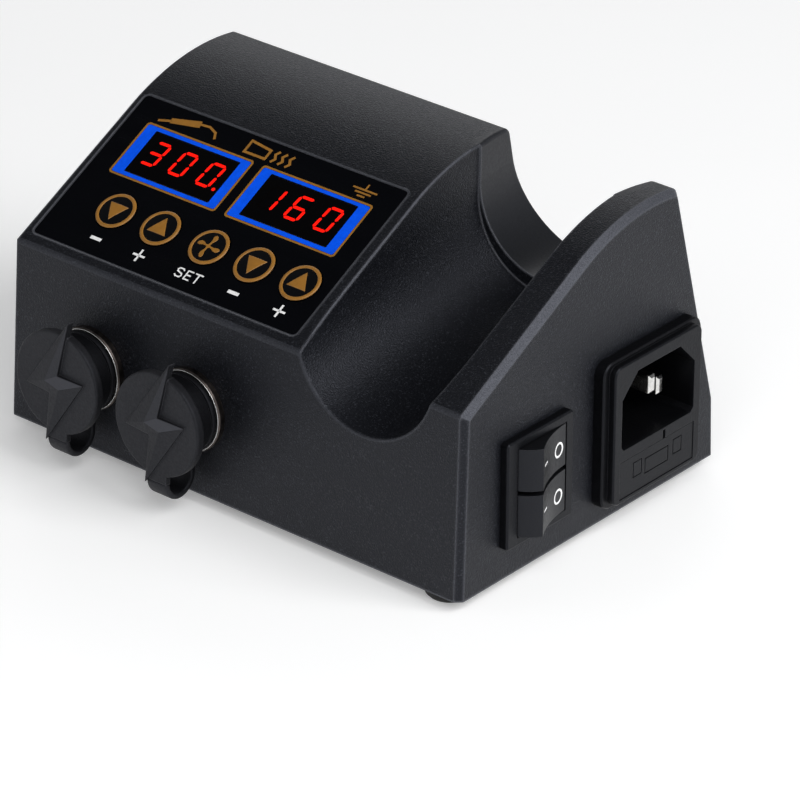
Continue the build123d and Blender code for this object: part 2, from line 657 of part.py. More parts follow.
def switch_terminals():
    """Four flat terminals behind the switch."""
    blades = []
    for across in (-4.5, 4.5):
        for up in (-5.2, 5.2):
            blade = Pos(across, up, 0) * block(4.8, 0.8, -SWITCH_BODY_DEPTH - 7.0, -SWITCH_BODY_DEPTH)
            blades.append(on_side(SWITCH_Y, SWITCH_Z) * blade)
    return Compound(blades)


# ------------------------------------------------------------------ mains inlet and fuse drawer
def socket_opening_outline():
    """Mains socket outline: a rectangle with its two upper corners cut off."""
    half_x = SOCKET_OPENING[0] / 2
    half_y = SOCKET_OPENING[1] / 2
    cut = SOCKET_CORNER_CUT
    small = 0.9
    corners = [
        (-half_x, -half_y + small),
        (-half_x + small, -half_y),
        (half_x - small, -half_y),
        (half_x, -half_y + small),
        (half_x, half_y - cut),
        (half_x - cut, half_y),
        (-half_x + cut, half_y),
        (-half_x, half_y - cut),
    ]
    return make_face(Polyline(*corners, close=True))


def inlet_body():
    """Inlet moulding: flange, raised face, socket well and a slot for the fuse drawer."""
    body = rounded_block(*INLET_FLANGE, 0, INLET_FLANGE_PROUD, 3.0)
    body = chamfer(body.faces().sort_by(Axis.Z)[-1].edges(), 0.3)
    body += rounded_block(*INLET_FACE, INLET_FLANGE_PROUD - 0.5, INLET_FACE_PROUD, 2.0)
    body = chamfer(body.faces().sort_by(Axis.Z)[-1].edges(), 0.3)
    body += block(*INLET_BODY, -INLET_BODY_DEPTH, 0.5)
    well = Pos(0, SOCKET_OPENING_UP, INLET_FACE_PROUD - SOCKET_DEPTH)
    body -= well * extrude(socket_opening_outline(), SOCKET_DEPTH + 1)
    slot = block(DRAWER_SIZE[0], DRAWER_SIZE[1], INLET_FACE_PROUD - DRAWER_DEPTH - 0.6, INLET_FACE_PROUD + 1)
    body -= Pos(0, -DRAWER_DOWN, 0) * slot
    body -= Pos(2.3, -DRAWER_DOWN + 5.0, 0) * block(0.8, 2.6, INLET_FACE_PROUD - 1.2, INLET_FACE_PROUD + 1)
    return on_side(INLET_Y, INLET_Z) * body


def inlet_pins():
    """Earth pin and the two power pins, each a flat blade with a terminal tab behind the body."""
    pins = []
    floor = INLET_FACE_PROUD - SOCKET_DEPTH
    places = (
        (0, 2.0, EARTH_PIN_LENGTH),
        (-PIN_SPREAD, -2.0, POWER_PIN_LENGTH),
        (PIN_SPREAD, -2.0, POWER_PIN_LENGTH),
    )
    for across, up, length in places:
        pin = block(*PIN_SIZE, floor, floor + length)
        pin = chamfer(pin.faces().sort_by(Axis.Z)[-1].edges(), 0.5)
        tab = block(0.8, 4.8, -INLET_BODY_DEPTH - 7.5, -INLET_BODY_DEPTH)
        for piece in (pin, tab):
            pins.append(on_side(INLET_Y, INLET_Z + SOCKET_OPENING_UP) * Pos(across, up, 0) * piece)
    return Compound(pins)


def fuse_drawer():
    """Sliding drawer with a cradle for the fuse and shallow grooves on its face."""
    gap = 0.15
    size = (DRAWER_SIZE[0] - 2 * gap, DRAWER_SIZE[1] - 2 * gap)
    front = INLET_FACE_PROUD - 0.1
    drawer = block(*size, front - 2.0, front)
    drawer += block(size[0] - 1.0, size[1] - 1.0, front - DRAWER_DEPTH, front - 1.0)
    drawer -= Pos(0, 1.0, 0) * block(21.0, size[1], front - DRAWER_DEPTH + 1.2, front - 3.0)
    for across, width, down in ((-6.5, 3.0, 0.0), (0.0, 8.0, 0.6), (7.0, 3.0, 0.0)):
        groove = block(width, 3.6, -0.3, 1) - block(width - 0.5, 3.1, -1, 2)
        drawer -= Pos(across, 0.9 - down, front) * groove
    return on_side(INLET_Y, INLET_Z - DRAWER_DOWN) * drawer


def fuse_place():
    """Fuse lying across the drawer, in its cradle."""
    depth = INLET_FACE_PROUD - 0.1 - DRAWER_DEPTH / 2 - 0.9
    return on_side(INLET_Y, INLET_Z - DRAWER_DOWN + 0.2, depth) * Rot(0, 90, 0)


def fuse_tube():
    """Glass body of the fuse."""
    return fuse_place() * ring(2.4, 1.9, -7.0, 7.0)


def fuse_caps():
    """Metal end caps of the fuse."""
    caps = []
    for side in (-1, 1):
        low, high = sorted((side * 7.0, side * 10.0))
        caps.append(fuse_place() * disc(2.55, low, high))
    return Compound(caps)


# ------------------------------------------------------------------ power board
def power_board():
    """Mains power board on the bottom cover's standoffs."""
    left, front, right, back = POWER_BOARD
    board = Pos((left + right) / 2, (front + back) / 2, POWER_BOARD_HEIGHT) * rounded_block(
        right - left, back - front, 0, BOARD_THICKNESS, 1.5
    )
    for x, y in STANDOFFS:
        board -= Pos(x, y, POWER_BOARD_HEIGHT) * disc(SCREW_RADIUS + 0.15, -1, BOARD_THICKNESS + 1)
    return board


def on_power_board(x, y):
    """Place on top of the power board."""
    return Pos(x, y, POWER_BOARD_HEIGHT + BOARD_THICKNESS)


def transformer_core():
    """Ferrite core: a closed frame with a centre leg."""
    core = block(28, 11, 2.0, 25.0)
    for side in (-1, 1):
        core -= Pos(side * 7.4, 0, 0) * block(7.2, 20, 5.5, 21.5)
    return on_power_board(32, 62) * core


def transformer_coil():
    """Coil former and windings round the core's centre leg."""
    coil = block(21.4, 18, 6.0, 21.0) - block(7.8, 11.4, 0, 30)
    legs = [Pos(x, y, 0) * block(1.2, 1.2, 0, 6.5) for x in (-9, -3, 3, 9) for y in (-8.2, 8.2)]
    for leg in legs:
        coil += leg
    return on_power_board(32, 62) * coil


def capacitors():
    """Three electrolytic capacitors."""
    return Compound([
        on_power_board(58, 66) * fillet(disc(6.3, 0, 20).edges().sort_by(Axis.Z)[-1], 0.8),
        on_power_board(52, 48) * fillet(disc(5.0, 0, 16).edges().sort_by(Axis.Z)[-1], 0.8),
        on_power_board(64, 48) * fillet(disc(5.0, 0, 16).edges().sort_by(Axis.Z)[-1], 0.8),
    ])


def heat_sink():
    """Finned aluminium heat sink for the two triacs."""
    sink = block(34, 2.4, 0, 20)
    for step in range(7):
        sink += Pos(-15 + 5 * step, 4.2, 0) * block(1.2, 6.2, 0, 20)
    return on_power_board(30, 40) * sink


def triacs():
    """Two flat-packed triacs against the heat sink."""
    parts = []
    for x in (21, 37):
        parts.append(on_power_board(x, 40) * Pos(0, -3.55, 0) * block(10, 4.6, 3.5, 18.5))
    return Compound(parts)


def terminal_block():
    """Five-way screw terminal block for the mains leads."""
    body = block(8.5, 26, 0, 11)
    for step in range(5):
        place = Pos(0, -10.2 + 5.1 * step, 0)
        body -= place * disc(1.6, 7.5, 12)
        body -= place * Pos(4.0, 0, 0) * block(5, 3.2, 1.5, 6.0)
    return on_power_board(79, 45) * body


def rectifier():
    """Bridge rectifier standing on the board."""
    return on_power_board(74, 66) * block(4.5, 15, 1.5, 12)


# ------------------------------------------------------------------ assembly
def all_nodes():
    """Every separate piece, by name."""
    nodes = {
        "main_shell": main_shell(),
        "bottom_cover": bottom_cover(),
        "rubber_feet": rubber_feet(),
        "cover_screws": cover_screws(),
        "board_screws": board_screws(),
        "panel_overlay": panel_overlay(),
        "display_windows": display_windows(),
        "left_display": display_module(DISPLAY_CENTRES[0]),
        "right_display": display_module(DISPLAY_CENTRES[1]),
        "tact_switches": tact_switches(),
        "control_board": control_board(),
        "control_chips": control_chips(),
        "socket_nuts": socket_nuts(),
        "switch_housing": switch_housing(),
        "rocker_pin": rocker_pin(),
        "upper_rocker": rocker(1),
        "lower_rocker": rocker(-1),
        "switch_terminals": switch_terminals(),
        "inlet_body": inlet_body(),
        "inlet_pins": inlet_pins(),
        "fuse_drawer": fuse_drawer(),
        "fuse_tube": fuse_tube(),
        "fuse_caps": fuse_caps(),
        "power_board": power_board(),
        "transformer_core": transformer_core(),
        "transformer_coil": transformer_coil(),
        "capacitors": capacitors(),
        "heat_sink": heat_sink(),
        "triacs": triacs(),
        "terminal_block": terminal_block(),
        "rectifier": rectifier(),
    }
    for name, x in zip(BUTTON_NAMES, BUTTON_XS):
        nodes[name + "_button"] = button(x)
    for name, x, count in zip(SOCKET_NAMES, SOCKET_XS, SOCKET_PINS):
        nodes[name + "_socket_shell"] = socket_shell(x)
        nodes[name + "_socket_insert"] = socket_insert(x)
        nodes[name + "_socket_pins"] = socket_pins(x, count)
        nodes[name + "_dust_cap"] = dust_cap(x)
        nodes[name + "_cap_strap"] = cap_strap(x)
    return nodes


nodes = all_nodes()
bounds = Compound([solid for node in nodes.values() for solid in node.solids()]).bounding_box()
to_frame = Pos(-bounds.center().X, -bounds.center().Y, -bounds.min.Z)
os.makedirs("parts", exist_ok=True)
for name, node in nodes.items():
    solids = [to_frame * solid for solid in node.solids()]
    export_step(solids[0] if len(solids) == 1 else Compound(solids), f"parts/{name}.step")
print("size", round(bounds.size.X, 2), round(bounds.size.Y, 2), round(bounds.size.Z, 2))
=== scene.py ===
import bpy
import math
from mathutils import Matrix, Vector


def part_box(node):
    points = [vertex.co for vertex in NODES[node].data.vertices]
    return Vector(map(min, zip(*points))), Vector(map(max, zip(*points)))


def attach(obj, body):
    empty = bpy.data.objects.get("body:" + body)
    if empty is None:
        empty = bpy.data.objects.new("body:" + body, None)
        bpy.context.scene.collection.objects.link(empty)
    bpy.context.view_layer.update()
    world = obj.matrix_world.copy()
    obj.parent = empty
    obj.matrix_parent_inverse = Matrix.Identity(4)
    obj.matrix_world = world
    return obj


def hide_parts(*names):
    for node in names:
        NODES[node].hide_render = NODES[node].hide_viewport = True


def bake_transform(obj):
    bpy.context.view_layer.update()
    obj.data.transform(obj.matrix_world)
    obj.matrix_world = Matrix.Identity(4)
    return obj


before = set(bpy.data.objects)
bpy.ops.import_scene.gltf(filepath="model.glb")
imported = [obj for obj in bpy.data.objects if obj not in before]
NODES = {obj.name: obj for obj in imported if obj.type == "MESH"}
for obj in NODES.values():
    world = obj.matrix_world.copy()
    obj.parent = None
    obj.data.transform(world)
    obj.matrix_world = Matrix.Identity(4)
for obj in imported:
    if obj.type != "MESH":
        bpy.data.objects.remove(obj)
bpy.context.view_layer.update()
LEFT_SIDE = -1.1
RIGHT_SIDE = 122.9
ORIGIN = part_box("main_shell")[0] - Vector((LEFT_SIDE / 1000, 0, 0))

# ------------------------------------------------------------------ places, in the housing's own millimetres
PANEL_ANGLE = math.radians(28.5)
FRONT_LEAN = math.tan(math.radians(2.1))
SIDE_LEAN = math.tan(math.radians(1.0))
FRONT_HEIGHT = 41.1
CHANNEL_X = 96.05
SEAM_Y = 59.0                   # the channel's raised rear lip starts here
SOCKETS = {"left": 22.7, "right": 50.7}
SOCKET_HEIGHT = 18.9
CAP_BACK = 8.7                  # back of a dust cap's disc, out from the front wall
CAP_FRONT = 10.9
BUTTON_ROW = 14.9
BUTTONS = {"left_down": 17.2, "left_up": 29.7, "set": 43.2, "right_down": 55.6, "right_up": 68.1}
BUTTON_RADIUS = 4.6
OVERLAY_TOP = -0.15

# Limits of the housing material's masks.
RIM_MASK = (77.5, 78.7)         # in x, round the channel's left rim
FIN_MASK_LEFT = 119.0           # in x, the fin's right chamfer lies beyond it
LIP_MASK_HALF_WIDTH = 19.9      # in x, to either side of the channel's middle
LIP_MASK_LOWEST = 38.8          # in z


def plane(origin, across, out):
    """Matrix from local millimetres (across, up, out) to row-frame metres."""
    across = Vector(across).normalized()
    out = Vector(out).normalized()
    up = out.cross(across)
    turn = Matrix((across, up, out)).transposed().to_4x4()
    return Matrix.Translation(ORIGIN) @ Matrix.Scale(0.001, 4) @ Matrix.Translation(origin) @ turn


HOUSING = plane((0, 0, 0), (1, 0, 0), (0, 0, 1))
PANEL = plane((0, FRONT_HEIGHT * FRONT_LEAN, FRONT_HEIGHT), (1, 0, 0),
              (0, -math.sin(PANEL_ANGLE), math.cos(PANEL_ANGLE)))
FRONT = plane((0, 0, 0), (1, 0, 0), (0, -1, FRONT_LEAN))
SIDE = plane((RIGHT_SIDE, 0, 0), (0, 1, 0), (1, 0, SIDE_LEAN))


# ------------------------------------------------------------------ materials
class Nodes:
    """Small helper for building one material's node tree."""

    def __init__(self, name):
        self.material = bpy.data.materials.new(name)
        self.material.use_nodes = True
        self.tree = self.material.node_tree
        self.tree.nodes.clear()
        self.out = self.add("ShaderNodeOutputMaterial")
        self.shader = self.add("ShaderNodeBsdfPrincipled")
        self.link(self.shader.outputs[0], self.out.inputs[0])
        self.coord = self.add("ShaderNodeTexCoord").outputs["Object"]

    def add(self, kind, **settings):
        node = self.tree.nodes.new(kind)
        for key, value in settings.items():
            setattr(node, key, value)
        return node

    def link(self, source, target):
        self.tree.links.new(source, target)

    def put(self, socket, value):
        if isinstance(value, bpy.types.NodeSocket):
            self.link(value, socket)
        else:
            socket.default_value = value

    def math(self, operation, a, b=0.0, clamp=False):
        node = self.add("ShaderNodeMath", operation=operation, use_clamp=clamp)
        self.put(node.inputs[0], a)
        self.put(node.inputs[1], b)
        return node.outputs[0]

    def place(self):
        """Coordinates of the shaded point in the housing's own millimetres."""
        shift = self.add("ShaderNodeVectorMath", operation="SUBTRACT")
        self.link(self.coord, shift.inputs[0])
        shift.inputs[1].default_value = ORIGIN
        scale = self.add("ShaderNodeVectorMath", operation="SCALE")
        self.link(shift.outputs[0], scale.inputs[0])
        scale.inputs["Scale"].default_value = 1000
        axes = self.add("ShaderNodeSeparateXYZ")
        self.link(scale.outputs[0], axes.inputs[0])
        return axes.outputs

    def noise(self, scale, detail=3.0, rough=0.55, stretch=None):
        node = self.add("ShaderNodeTexNoise")
        node.inputs["Scale"].default_value = scale
        node.inputs["Detail"].default_value = detail
        node.inputs["Roughness"].default_value = rough
        self.put(node.inputs["Vector"], self.coord if stretch is None else self.stretched(stretch))
        return node.outputs["Fac"]

    def stretched(self, scale):
        node = self.add("ShaderNodeMapping")
        node.inputs["Scale"].default_value = scale
        self.link(self.coord, node.inputs["Vector"])
        return node.outputs[0]

    def grains(self, scale):
        node = self.add("ShaderNodeTexVoronoi", feature="F1")
        node.inputs["Scale"].default_value = scale
        self.link(self.coord, node.inputs["Vector"])
        return node.outputs["Distance"]

    def ramp(self, value, low, high, to_low=0.0, to_high=1.0):
        node = self.add("ShaderNodeMapRange", clamp=True)
        self.put(node.inputs["Value"], value)
        for key, number in (("From Min", low), ("From Max", high), ("To Min", to_low), ("To Max", to_high)):
            self.put(node.inputs[key], number)
        return node.outputs[0]

    def mix(self, factor, a, b):
        node = self.add("ShaderNodeMix", data_type="RGBA")
        self.put(node.inputs["Factor"], factor)
        self.put(node.inputs[6], a)
        self.put(node.inputs[7], b)
        return node.outputs[2]

    def edges(self, radius):
        """One where a convex or hollow edge runs, zero on open surface."""
        bevel = self.add("ShaderNodeBevel", samples=4)
        bevel.inputs["Radius"].default_value = radius
        geometry = self.add("ShaderNodeNewGeometry")
        dot = self.add("ShaderNodeVectorMath", operation="DOT_PRODUCT")
        self.link(bevel.outputs[0], dot.inputs[0])
        self.link(geometry.outputs["Normal"], dot.inputs[1])
        return self.ramp(dot.outputs["Value"], 0.985, 0.80)

    def facing(self):
        """The three parts of the surface's own direction: right, back and up."""
        geometry = self.add("ShaderNodeNewGeometry")
        axes = self.add("ShaderNodeSeparateXYZ")
        self.link(geometry.outputs["True Normal"], axes.inputs[0])
        return axes.outputs

    def between(self, value, low, high):
        """One where the value lies between the two limits."""
        above = self.math("GREATER_THAN", value, low)
        return self.math("MULTIPLY", above, self.math("LESS_THAN", value, high))

    def brow(self, back, up):
        """One on the rounded edge between the front wall and the slope."""
        return self.math("MULTIPLY", self.between(up, 0.1, 0.86), self.math("LESS_THAN", back, -0.5))

    def rim_facing_out(self, x, y, right, up):
        """One on the sparkling chamfers that face up and to the right: the fin's and the channel rim's."""
        slanted = self.math("MULTIPLY", self.between(right, 0.3, 0.93), self.math("GREATER_THAN", up, 0.2))
        rim = self.math("MULTIPLY", self.between(x, *RIM_MASK), self.math("LESS_THAN", y, SEAM_Y - 2.5))
        fin = self.math("GREATER_THAN", x, FIN_MASK_LEFT)
        return self.math("MULTIPLY", slanted, self.math("MAXIMUM", rim, fin))

    def bump(self, height, distance, radius=0.0):
        """Bump of the given depth in metres, over edges rounded by the radius."""
        node = self.add("ShaderNodeBump")
        node.inputs["Strength"].default_value = 1.0
        self.put(node.inputs["Distance"], distance)
        self.link(height, node.inputs["Height"])
        if radius > 0:
            bevel = self.add("ShaderNodeBevel", samples=4)
            bevel.inputs["Radius"].default_value = radius
            self.link(bevel.outputs[0], node.inputs["Normal"])
        return node.outputs[0]

    def finish(self, color, roughness, normal=None, metallic=0.0, **constants):
        self.put(self.shader.inputs["Base Color"], color)
        self.put(self.shader.inputs["Roughness"], roughness)
        self.shader.inputs["Metallic"].default_value = metallic
        if normal is not None:
            self.link(normal, self.shader.inputs["Normal"])
        for key, value in constants.items():
            self.shader.inputs[key.replace("_", " ")].default_value = value
        return self.material


def rgb(red, green, blue):
    return (red, green, blue, 1.0)


COOL = rgb(0.84, 0.87, 1.0)
DEEP_BLACK = rgb(0.0012, 0.0012, 0.0015)


def moulded(name, dark, light, grain, depth, rough, edge=0.0003, shade=None, pale=None, **constants):
    """Moulded plastic or rubber: speckled colour, spark-eroded grain, polished edges with a painted highlight.
    """
    n = Nodes(name)
    speck = n.ramp(n.noise(grain * 0.8, 2.0), 0.35, 0.75)
    cloud = n.ramp(n.noise(24, 4.0), 0.35, 0.7)
    color = n.mix(speck, rgb(*dark), rgb(*light))
    color = n.mix(n.math("MULTIPLY", cloud, 0.35), color, rgb(*[c * 1.35 for c in light]))
    # Painted light: a paler colour where the pale mask picks out lit faces.
    if pale is not None:
        color = n.mix(pale(n), color, rgb(0.055, 0.056, 0.064))
    if shade is not None:
        color = n.mix(shade(n), color, DEEP_BLACK)
    edges = n.edges(edge)
    # Painted highlight: a paler colour along the edges.
    color = n.mix(n.math("MULTIPLY", edges, 0.5), color, rgb(*[c * 2.4 + 0.004 for c in light]))
    roughness = n.ramp(n.noise(grain * 0.5, 2.0), 0.3, 0.7, rough - 0.05, rough + 0.06)
    roughness = n.math("SUBTRACT", roughness, n.math("MULTIPLY", edges, 0.1))
    height = n.math("ADD", n.noise(grain, 2.0), n.math("MULTIPLY", n.grains(grain * 0.7), 0.6))
    return n.finish(color, roughness, n.bump(height, depth, radius=edge), **constants)


def out_from_front(n):
    """How far the shaded point stands out from the front wall, in millimetres."""
    _, y, z = n.place()
    return n.math("SUBTRACT", n.math("MULTIPLY", z, FRONT_LEAN), y)


def cap_shade(n):
    """Shade for the caps: behind their discs, on the grips' upright walls and on the rims' right side."""
    out = out_from_front(n)
    right, back, _ = n.facing()
    behind = n.math("MULTIPLY", n.math("LESS_THAN", out, CAP_BACK - 0.1), 0.95)
    grip = n.math("GREATER_THAN", out, CAP_FRONT + 0.03)
    wall = n.math("MULTIPLY", grip, n.math("GREATER_THAN", back, -0.6))
    rim = n.math("MULTIPLY", n.math("GREATER_THAN", right, 0.25), 0.5)
    return n.math("MAXIMUM", behind, n.math("MAXIMUM", n.math("MULTIPLY", wall, 0.85), rim))


def strap_shade(n):
    """Shade that deepens along a strap, from the cap to the front wall."""
    return n.ramp(out_from_front(n), 9.4, 5.0, 0.0, 0.9)


def cap_facet_highlight(n):
    """Painted highlight: a paler tone on the grip's facets that face up and to the right."""
    right, _, up = n.facing()
    turned = n.ramp(n.math("ADD", up, n.math("MULTIPLY", right, 0.8)), 0.1, 0.3, 0.0, 0.8)
    return n.math("MULTIPLY", turned, n.math("GREATER_THAN", out_from_front(n), CAP_FRONT + 0.03))


def below_side(limit):
    """Shade for parts on the right wall that stand out less than limit millimetres."""
    def shade(n):
        x, _, z = n.place()
        out = n.math("ADD", x, n.math("MULTIPLY", z, SIDE_LEAN))
        return n.math("MULTIPLY", n.math("LESS_THAN", out, RIGHT_SIDE + limit), 0.75)
    return shade


def housing_material():
    """Housing plastic: fine sparkle grain, a painted highlight along the edges and a painted sheen on the
    up-facing chamfers and the brow, smoother and darker inside the rear lip.
    """
    n = Nodes("housing_plastic")
    x, y, z = n.place()
    right, back, up = n.facing()
    inside = n.math("LESS_THAN", n.math("ABSOLUTE", n.math("SUBTRACT", x, CHANNEL_X)), LIP_MASK_HALF_WIDTH)
    behind = n.math("GREATER_THAN", y, SEAM_Y)
    above = n.math("GREATER_THAN", z, LIP_MASK_LOWEST)
    inner = n.math("MULTIPLY", inside, n.math("LESS_THAN", back, 0.5))
    smooth = n.math("MULTIPLY", n.math("MULTIPLY", inner, behind), above)
    speck = n.ramp(n.noise(3600, 2.0), 0.38, 0.72)
    fleck = n.ramp(n.noise(2600, 1.0), 0.60, 0.72)
    cloud = n.ramp(n.noise(18, 4.0), 0.35, 0.7)
    color = n.mix(speck, rgb(0.0022, 0.0025, 0.0036), rgb(0.008, 0.0087, 0.0115))
    color = n.mix(n.math("MULTIPLY", fleck, 0.7), color, rgb(0.040, 0.043, 0.052))
    color = n.mix(n.math("MULTIPLY", cloud, 0.25), color, rgb(0.0075, 0.008, 0.010))
    color = n.mix(n.math("MULTIPLY", smooth, 0.8), color, rgb(0.0030, 0.0032, 0.0042))
    edges = n.edges(0.0009)
    # Painted highlight: a pale colour along every edge.
    color = n.mix(n.math("MULTIPLY", edges, 0.8), color, rgb(0.16, 0.165, 0.187))
    # Painted sheen, pale and speckled, on the chamfers that face up and to the right and on the brow.
    painted_sheen = n.math("MAXIMUM", n.rim_facing_out(x, y, right, up), n.math("MULTIPLY", n.brow(back, up), 0.35))
    painted_sheen = n.math("MULTIPLY", painted_sheen, n.ramp(n.noise(4200, 1.0), 0.35, 0.65, 0.45, 1.0))
    color = n.mix(painted_sheen, color, rgb(0.068, 0.071, 0.083))
    roughness = n.ramp(n.noise(1800, 2.0), 0.3, 0.7, 0.36, 0.48)
    roughness = n.math("SUBTRACT", roughness, n.math("MULTIPLY", edges, 0.08))
    grain = n.math("ADD", n.noise(3400, 2.0), n.math("MULTIPLY", n.grains(3000), 0.6))
    depth = n.ramp(smooth, 0.0, 1.0, 0.00008, 0.000008)
    normal = n.bump(grain, depth, radius=0.0004)
    return n.finish(color, roughness, normal, Specular_IOR_Level=0.27, Specular_Tint=COOL)


def metal(name, dark, light, rough, scale, stretch=(1, 1, 1), depth=0.000006, edge=0.00015):
    """Metal with fine marks from machining or plating, and a painted highlight along its edges."""
    n = Nodes(name)
    marks = n.noise(scale, 3.0, 0.6, stretch)
    color = n.mix(n.ramp(marks, 0.3, 0.7), rgb(*dark), rgb(*light))
    tarnish = n.math("MULTIPLY", n.ramp(n.noise(90, 3.0), 0.5, 0.75), 0.3)
    color = n.mix(tarnish, color, rgb(*[c * 0.72 for c in dark]))
    edges = n.edges(edge)
    # Painted highlight: a paler colour along the edges.
    color = n.mix(n.math("MULTIPLY", edges, 0.5), color, rgb(*[min(1.0, c * 1.1) for c in light]))
    roughness = n.ramp(marks, 0.25, 0.75, rough - 0.05, rough + 0.08)
    return n.finish(color, roughness, n.bump(marks, depth, radius=edge), metallic=1.0)


def glossy_film(name, color, rough, coat):
    """Printed polyester film: deep, nearly flat colour with faint orange peel, dust and hairlines."""
    n = Nodes(name)
    dust = n.ramp(n.noise(900, 2.0), 0.70, 0.80)
    base = n.mix(n.math("MULTIPLY", dust, 0.25), rgb(*color), rgb(*[c * 1.6 + 0.0015 for c in color]))
    tone = n.ramp(n.noise(60, 3.0), 0.3, 0.7)
    base = n.mix(n.math("MULTIPLY", tone, 0.3), base, rgb(*[c * 0.7 for c in color]))
    wipe = n.ramp(n.noise(40, 4.0, 0.6, (1, 6, 6)), 0.3, 0.7, rough - 0.04, rough + 0.06)
    peel = n.noise(420, 2.0)
    return n.finish(base, wipe, n.bump(peel, 0.000012, radius=0.00012), Coat_Weight=coat, Coat_Roughness=0.08,
                    Specular_IOR_Level=0.15)


def ink(name, color, rough=0.42, gloss=0.5):
    """Screen-printed ink: slightly uneven density and a fine mesh tooth."""
    n = Nodes(name)
    density = n.ramp(n.noise(700, 3.0), 0.3, 0.7)
    base = n.mix(density, rgb(*[c * 0.82 for c in color]), rgb(*color))
    tooth = n.noise(3500, 2.0)
    roughness = n.ramp(tooth, 0.3, 0.7, rough - 0.06, rough + 0.08)
    return n.finish(base, roughness, n.bump(tooth, 0.000008), Specular_IOR_Level=gloss)


def lit(name, color, strength):
    """Lit display segment: even glow, slightly uneven from die to diffuser."""
    n = Nodes(name)
    spots = n.ramp(n.noise(500, 1.0), 0.25, 0.7, 0.82, 1.0)
    glow = n.mix(spots, rgb(*[c * 0.75 for c in color]), rgb(*color))
    n.link(glow, n.shader.inputs["Emission Color"])
    return n.finish(rgb(*[c * 0.5 for c in color]), 0.35, Emission_Strength=strength, Specular_IOR_Level=0.1)


def board_material():
    """Solder mask over copper, with pads and tracks faintly raised."""
    n = Nodes("circuit_board")
    tracks = n.add("ShaderNodeTexBrick", offset=0.5)
    n.link(n.coord, tracks.inputs["Vector"])
    tracks.inputs["Scale"].default_value = 160
    tracks.inputs["Mortar Size"].default_value = 0.035
    color = n.mix(tracks.outputs["Fac"], rgb(0.008, 0.11, 0.035), rgb(0.03, 0.2, 0.07))
    color = n.mix(n.math("MULTIPLY", n.ramp(n.noise(300, 2.0), 0.4, 0.7), 0.3), color, rgb(0.012, 0.09, 0.03))
    return n.finish(color, 0.33, n.bump(tracks.outputs["Fac"], 0.00003))


def clear_glass(name, color, alpha, rough):
    """Thin glass with a faint haze."""
    n = Nodes(name)
    haze = n.noise(200, 2.0)
    roughness = n.ramp(haze, 0.3, 0.7, rough, rough + 0.05)
    tint = n.mix(n.ramp(haze, 0.3, 0.7), rgb(*color), rgb(*[c * 0.9 for c in color]))
    return n.finish(tint, roughness, n.bump(haze, 0.000005), Alpha=alpha)


HOUSING_PLASTIC = housing_material()
COVER_PLASTIC = moulded("cover_plastic", (0.005, 0.0052, 0.006), (0.011, 0.0115, 0.013), 1800, 0.00005, 0.5)
CAP_TONES = ((0.010, 0.0101, 0.0116), (0.019, 0.0192, 0.0215))
CAP_GRAIN = (2600, 0.00004, 0.55, 0.0004)
RUBBER = moulded("cap_rubber", *CAP_TONES, *CAP_GRAIN, cap_shade, cap_facet_highlight,
                 Specular_IOR_Level=0.22, Specular_Tint=COOL)
STRAP_RUBBER = moulded("strap_rubber", *CAP_TONES, *CAP_GRAIN, strap_shade,
                       Specular_IOR_Level=0.22, Specular_Tint=COOL)
FOOT_RUBBER = moulded("foot_rubber", (0.004, 0.004, 0.004), (0.009, 0.009, 0.009), 1500, 0.00006, 0.72)
SWITCH_PLASTIC = moulded("switch_plastic", (0.002, 0.0022, 0.0027), (0.0048, 0.005, 0.006),
                         3600, 0.000025, 0.4, 0.0002, below_side(1.3),
                         Specular_IOR_Level=0.2, Specular_Tint=COOL)
ROCKER_PLASTIC = moulded("rocker_plastic", (0.0028, 0.003, 0.0035), (0.006, 0.0063, 0.0072),
                         3800, 0.00002, 0.34, 0.00025,
                         Specular_IOR_Level=0.28, Specular_Tint=COOL)
INLET_PLASTIC = moulded("inlet_plastic", (0.0018, 0.002, 0.0025), (0.0046, 0.0048, 0.0058),
                        3200, 0.00003, 0.42, 0.00025, below_side(3.3),
                        Specular_IOR_Level=0.19, Specular_Tint=COOL)
INSULATOR = moulded("insulator", (0.02, 0.02, 0.02), (0.03, 0.03, 0.03), 2500, 0.00002, 0.5)
COMPONENT = moulded("component_black", (0.012, 0.012, 0.012), (0.022, 0.022, 0.022), 3000, 0.00002, 0.5)
TERMINAL_GREEN = moulded("terminal_green", (0.02, 0.22, 0.08), (0.03, 0.3, 0.12), 2000, 0.00003, 0.45)
COIL_TAPE = moulded("coil_tape", (0.55, 0.38, 0.04), (0.7, 0.5, 0.06), 500, 0.00004, 0.4)
FERRITE = moulded("ferrite", (0.02, 0.02, 0.022), (0.035, 0.035, 0.038), 1500, 0.00005, 0.6)
NICKEL = metal("nickel", (0.62, 0.61, 0.59), (0.86, 0.85, 0.83), 0.16, 700)
# Nickel with its colour darkened: painted shade for the dark reflections on the sockets' flanges.
SHADED_NICKEL = metal("shaded_nickel", (0.05, 0.043, 0.04), (0.13, 0.11, 0.10), 0.34, 700, edge=0.0001)
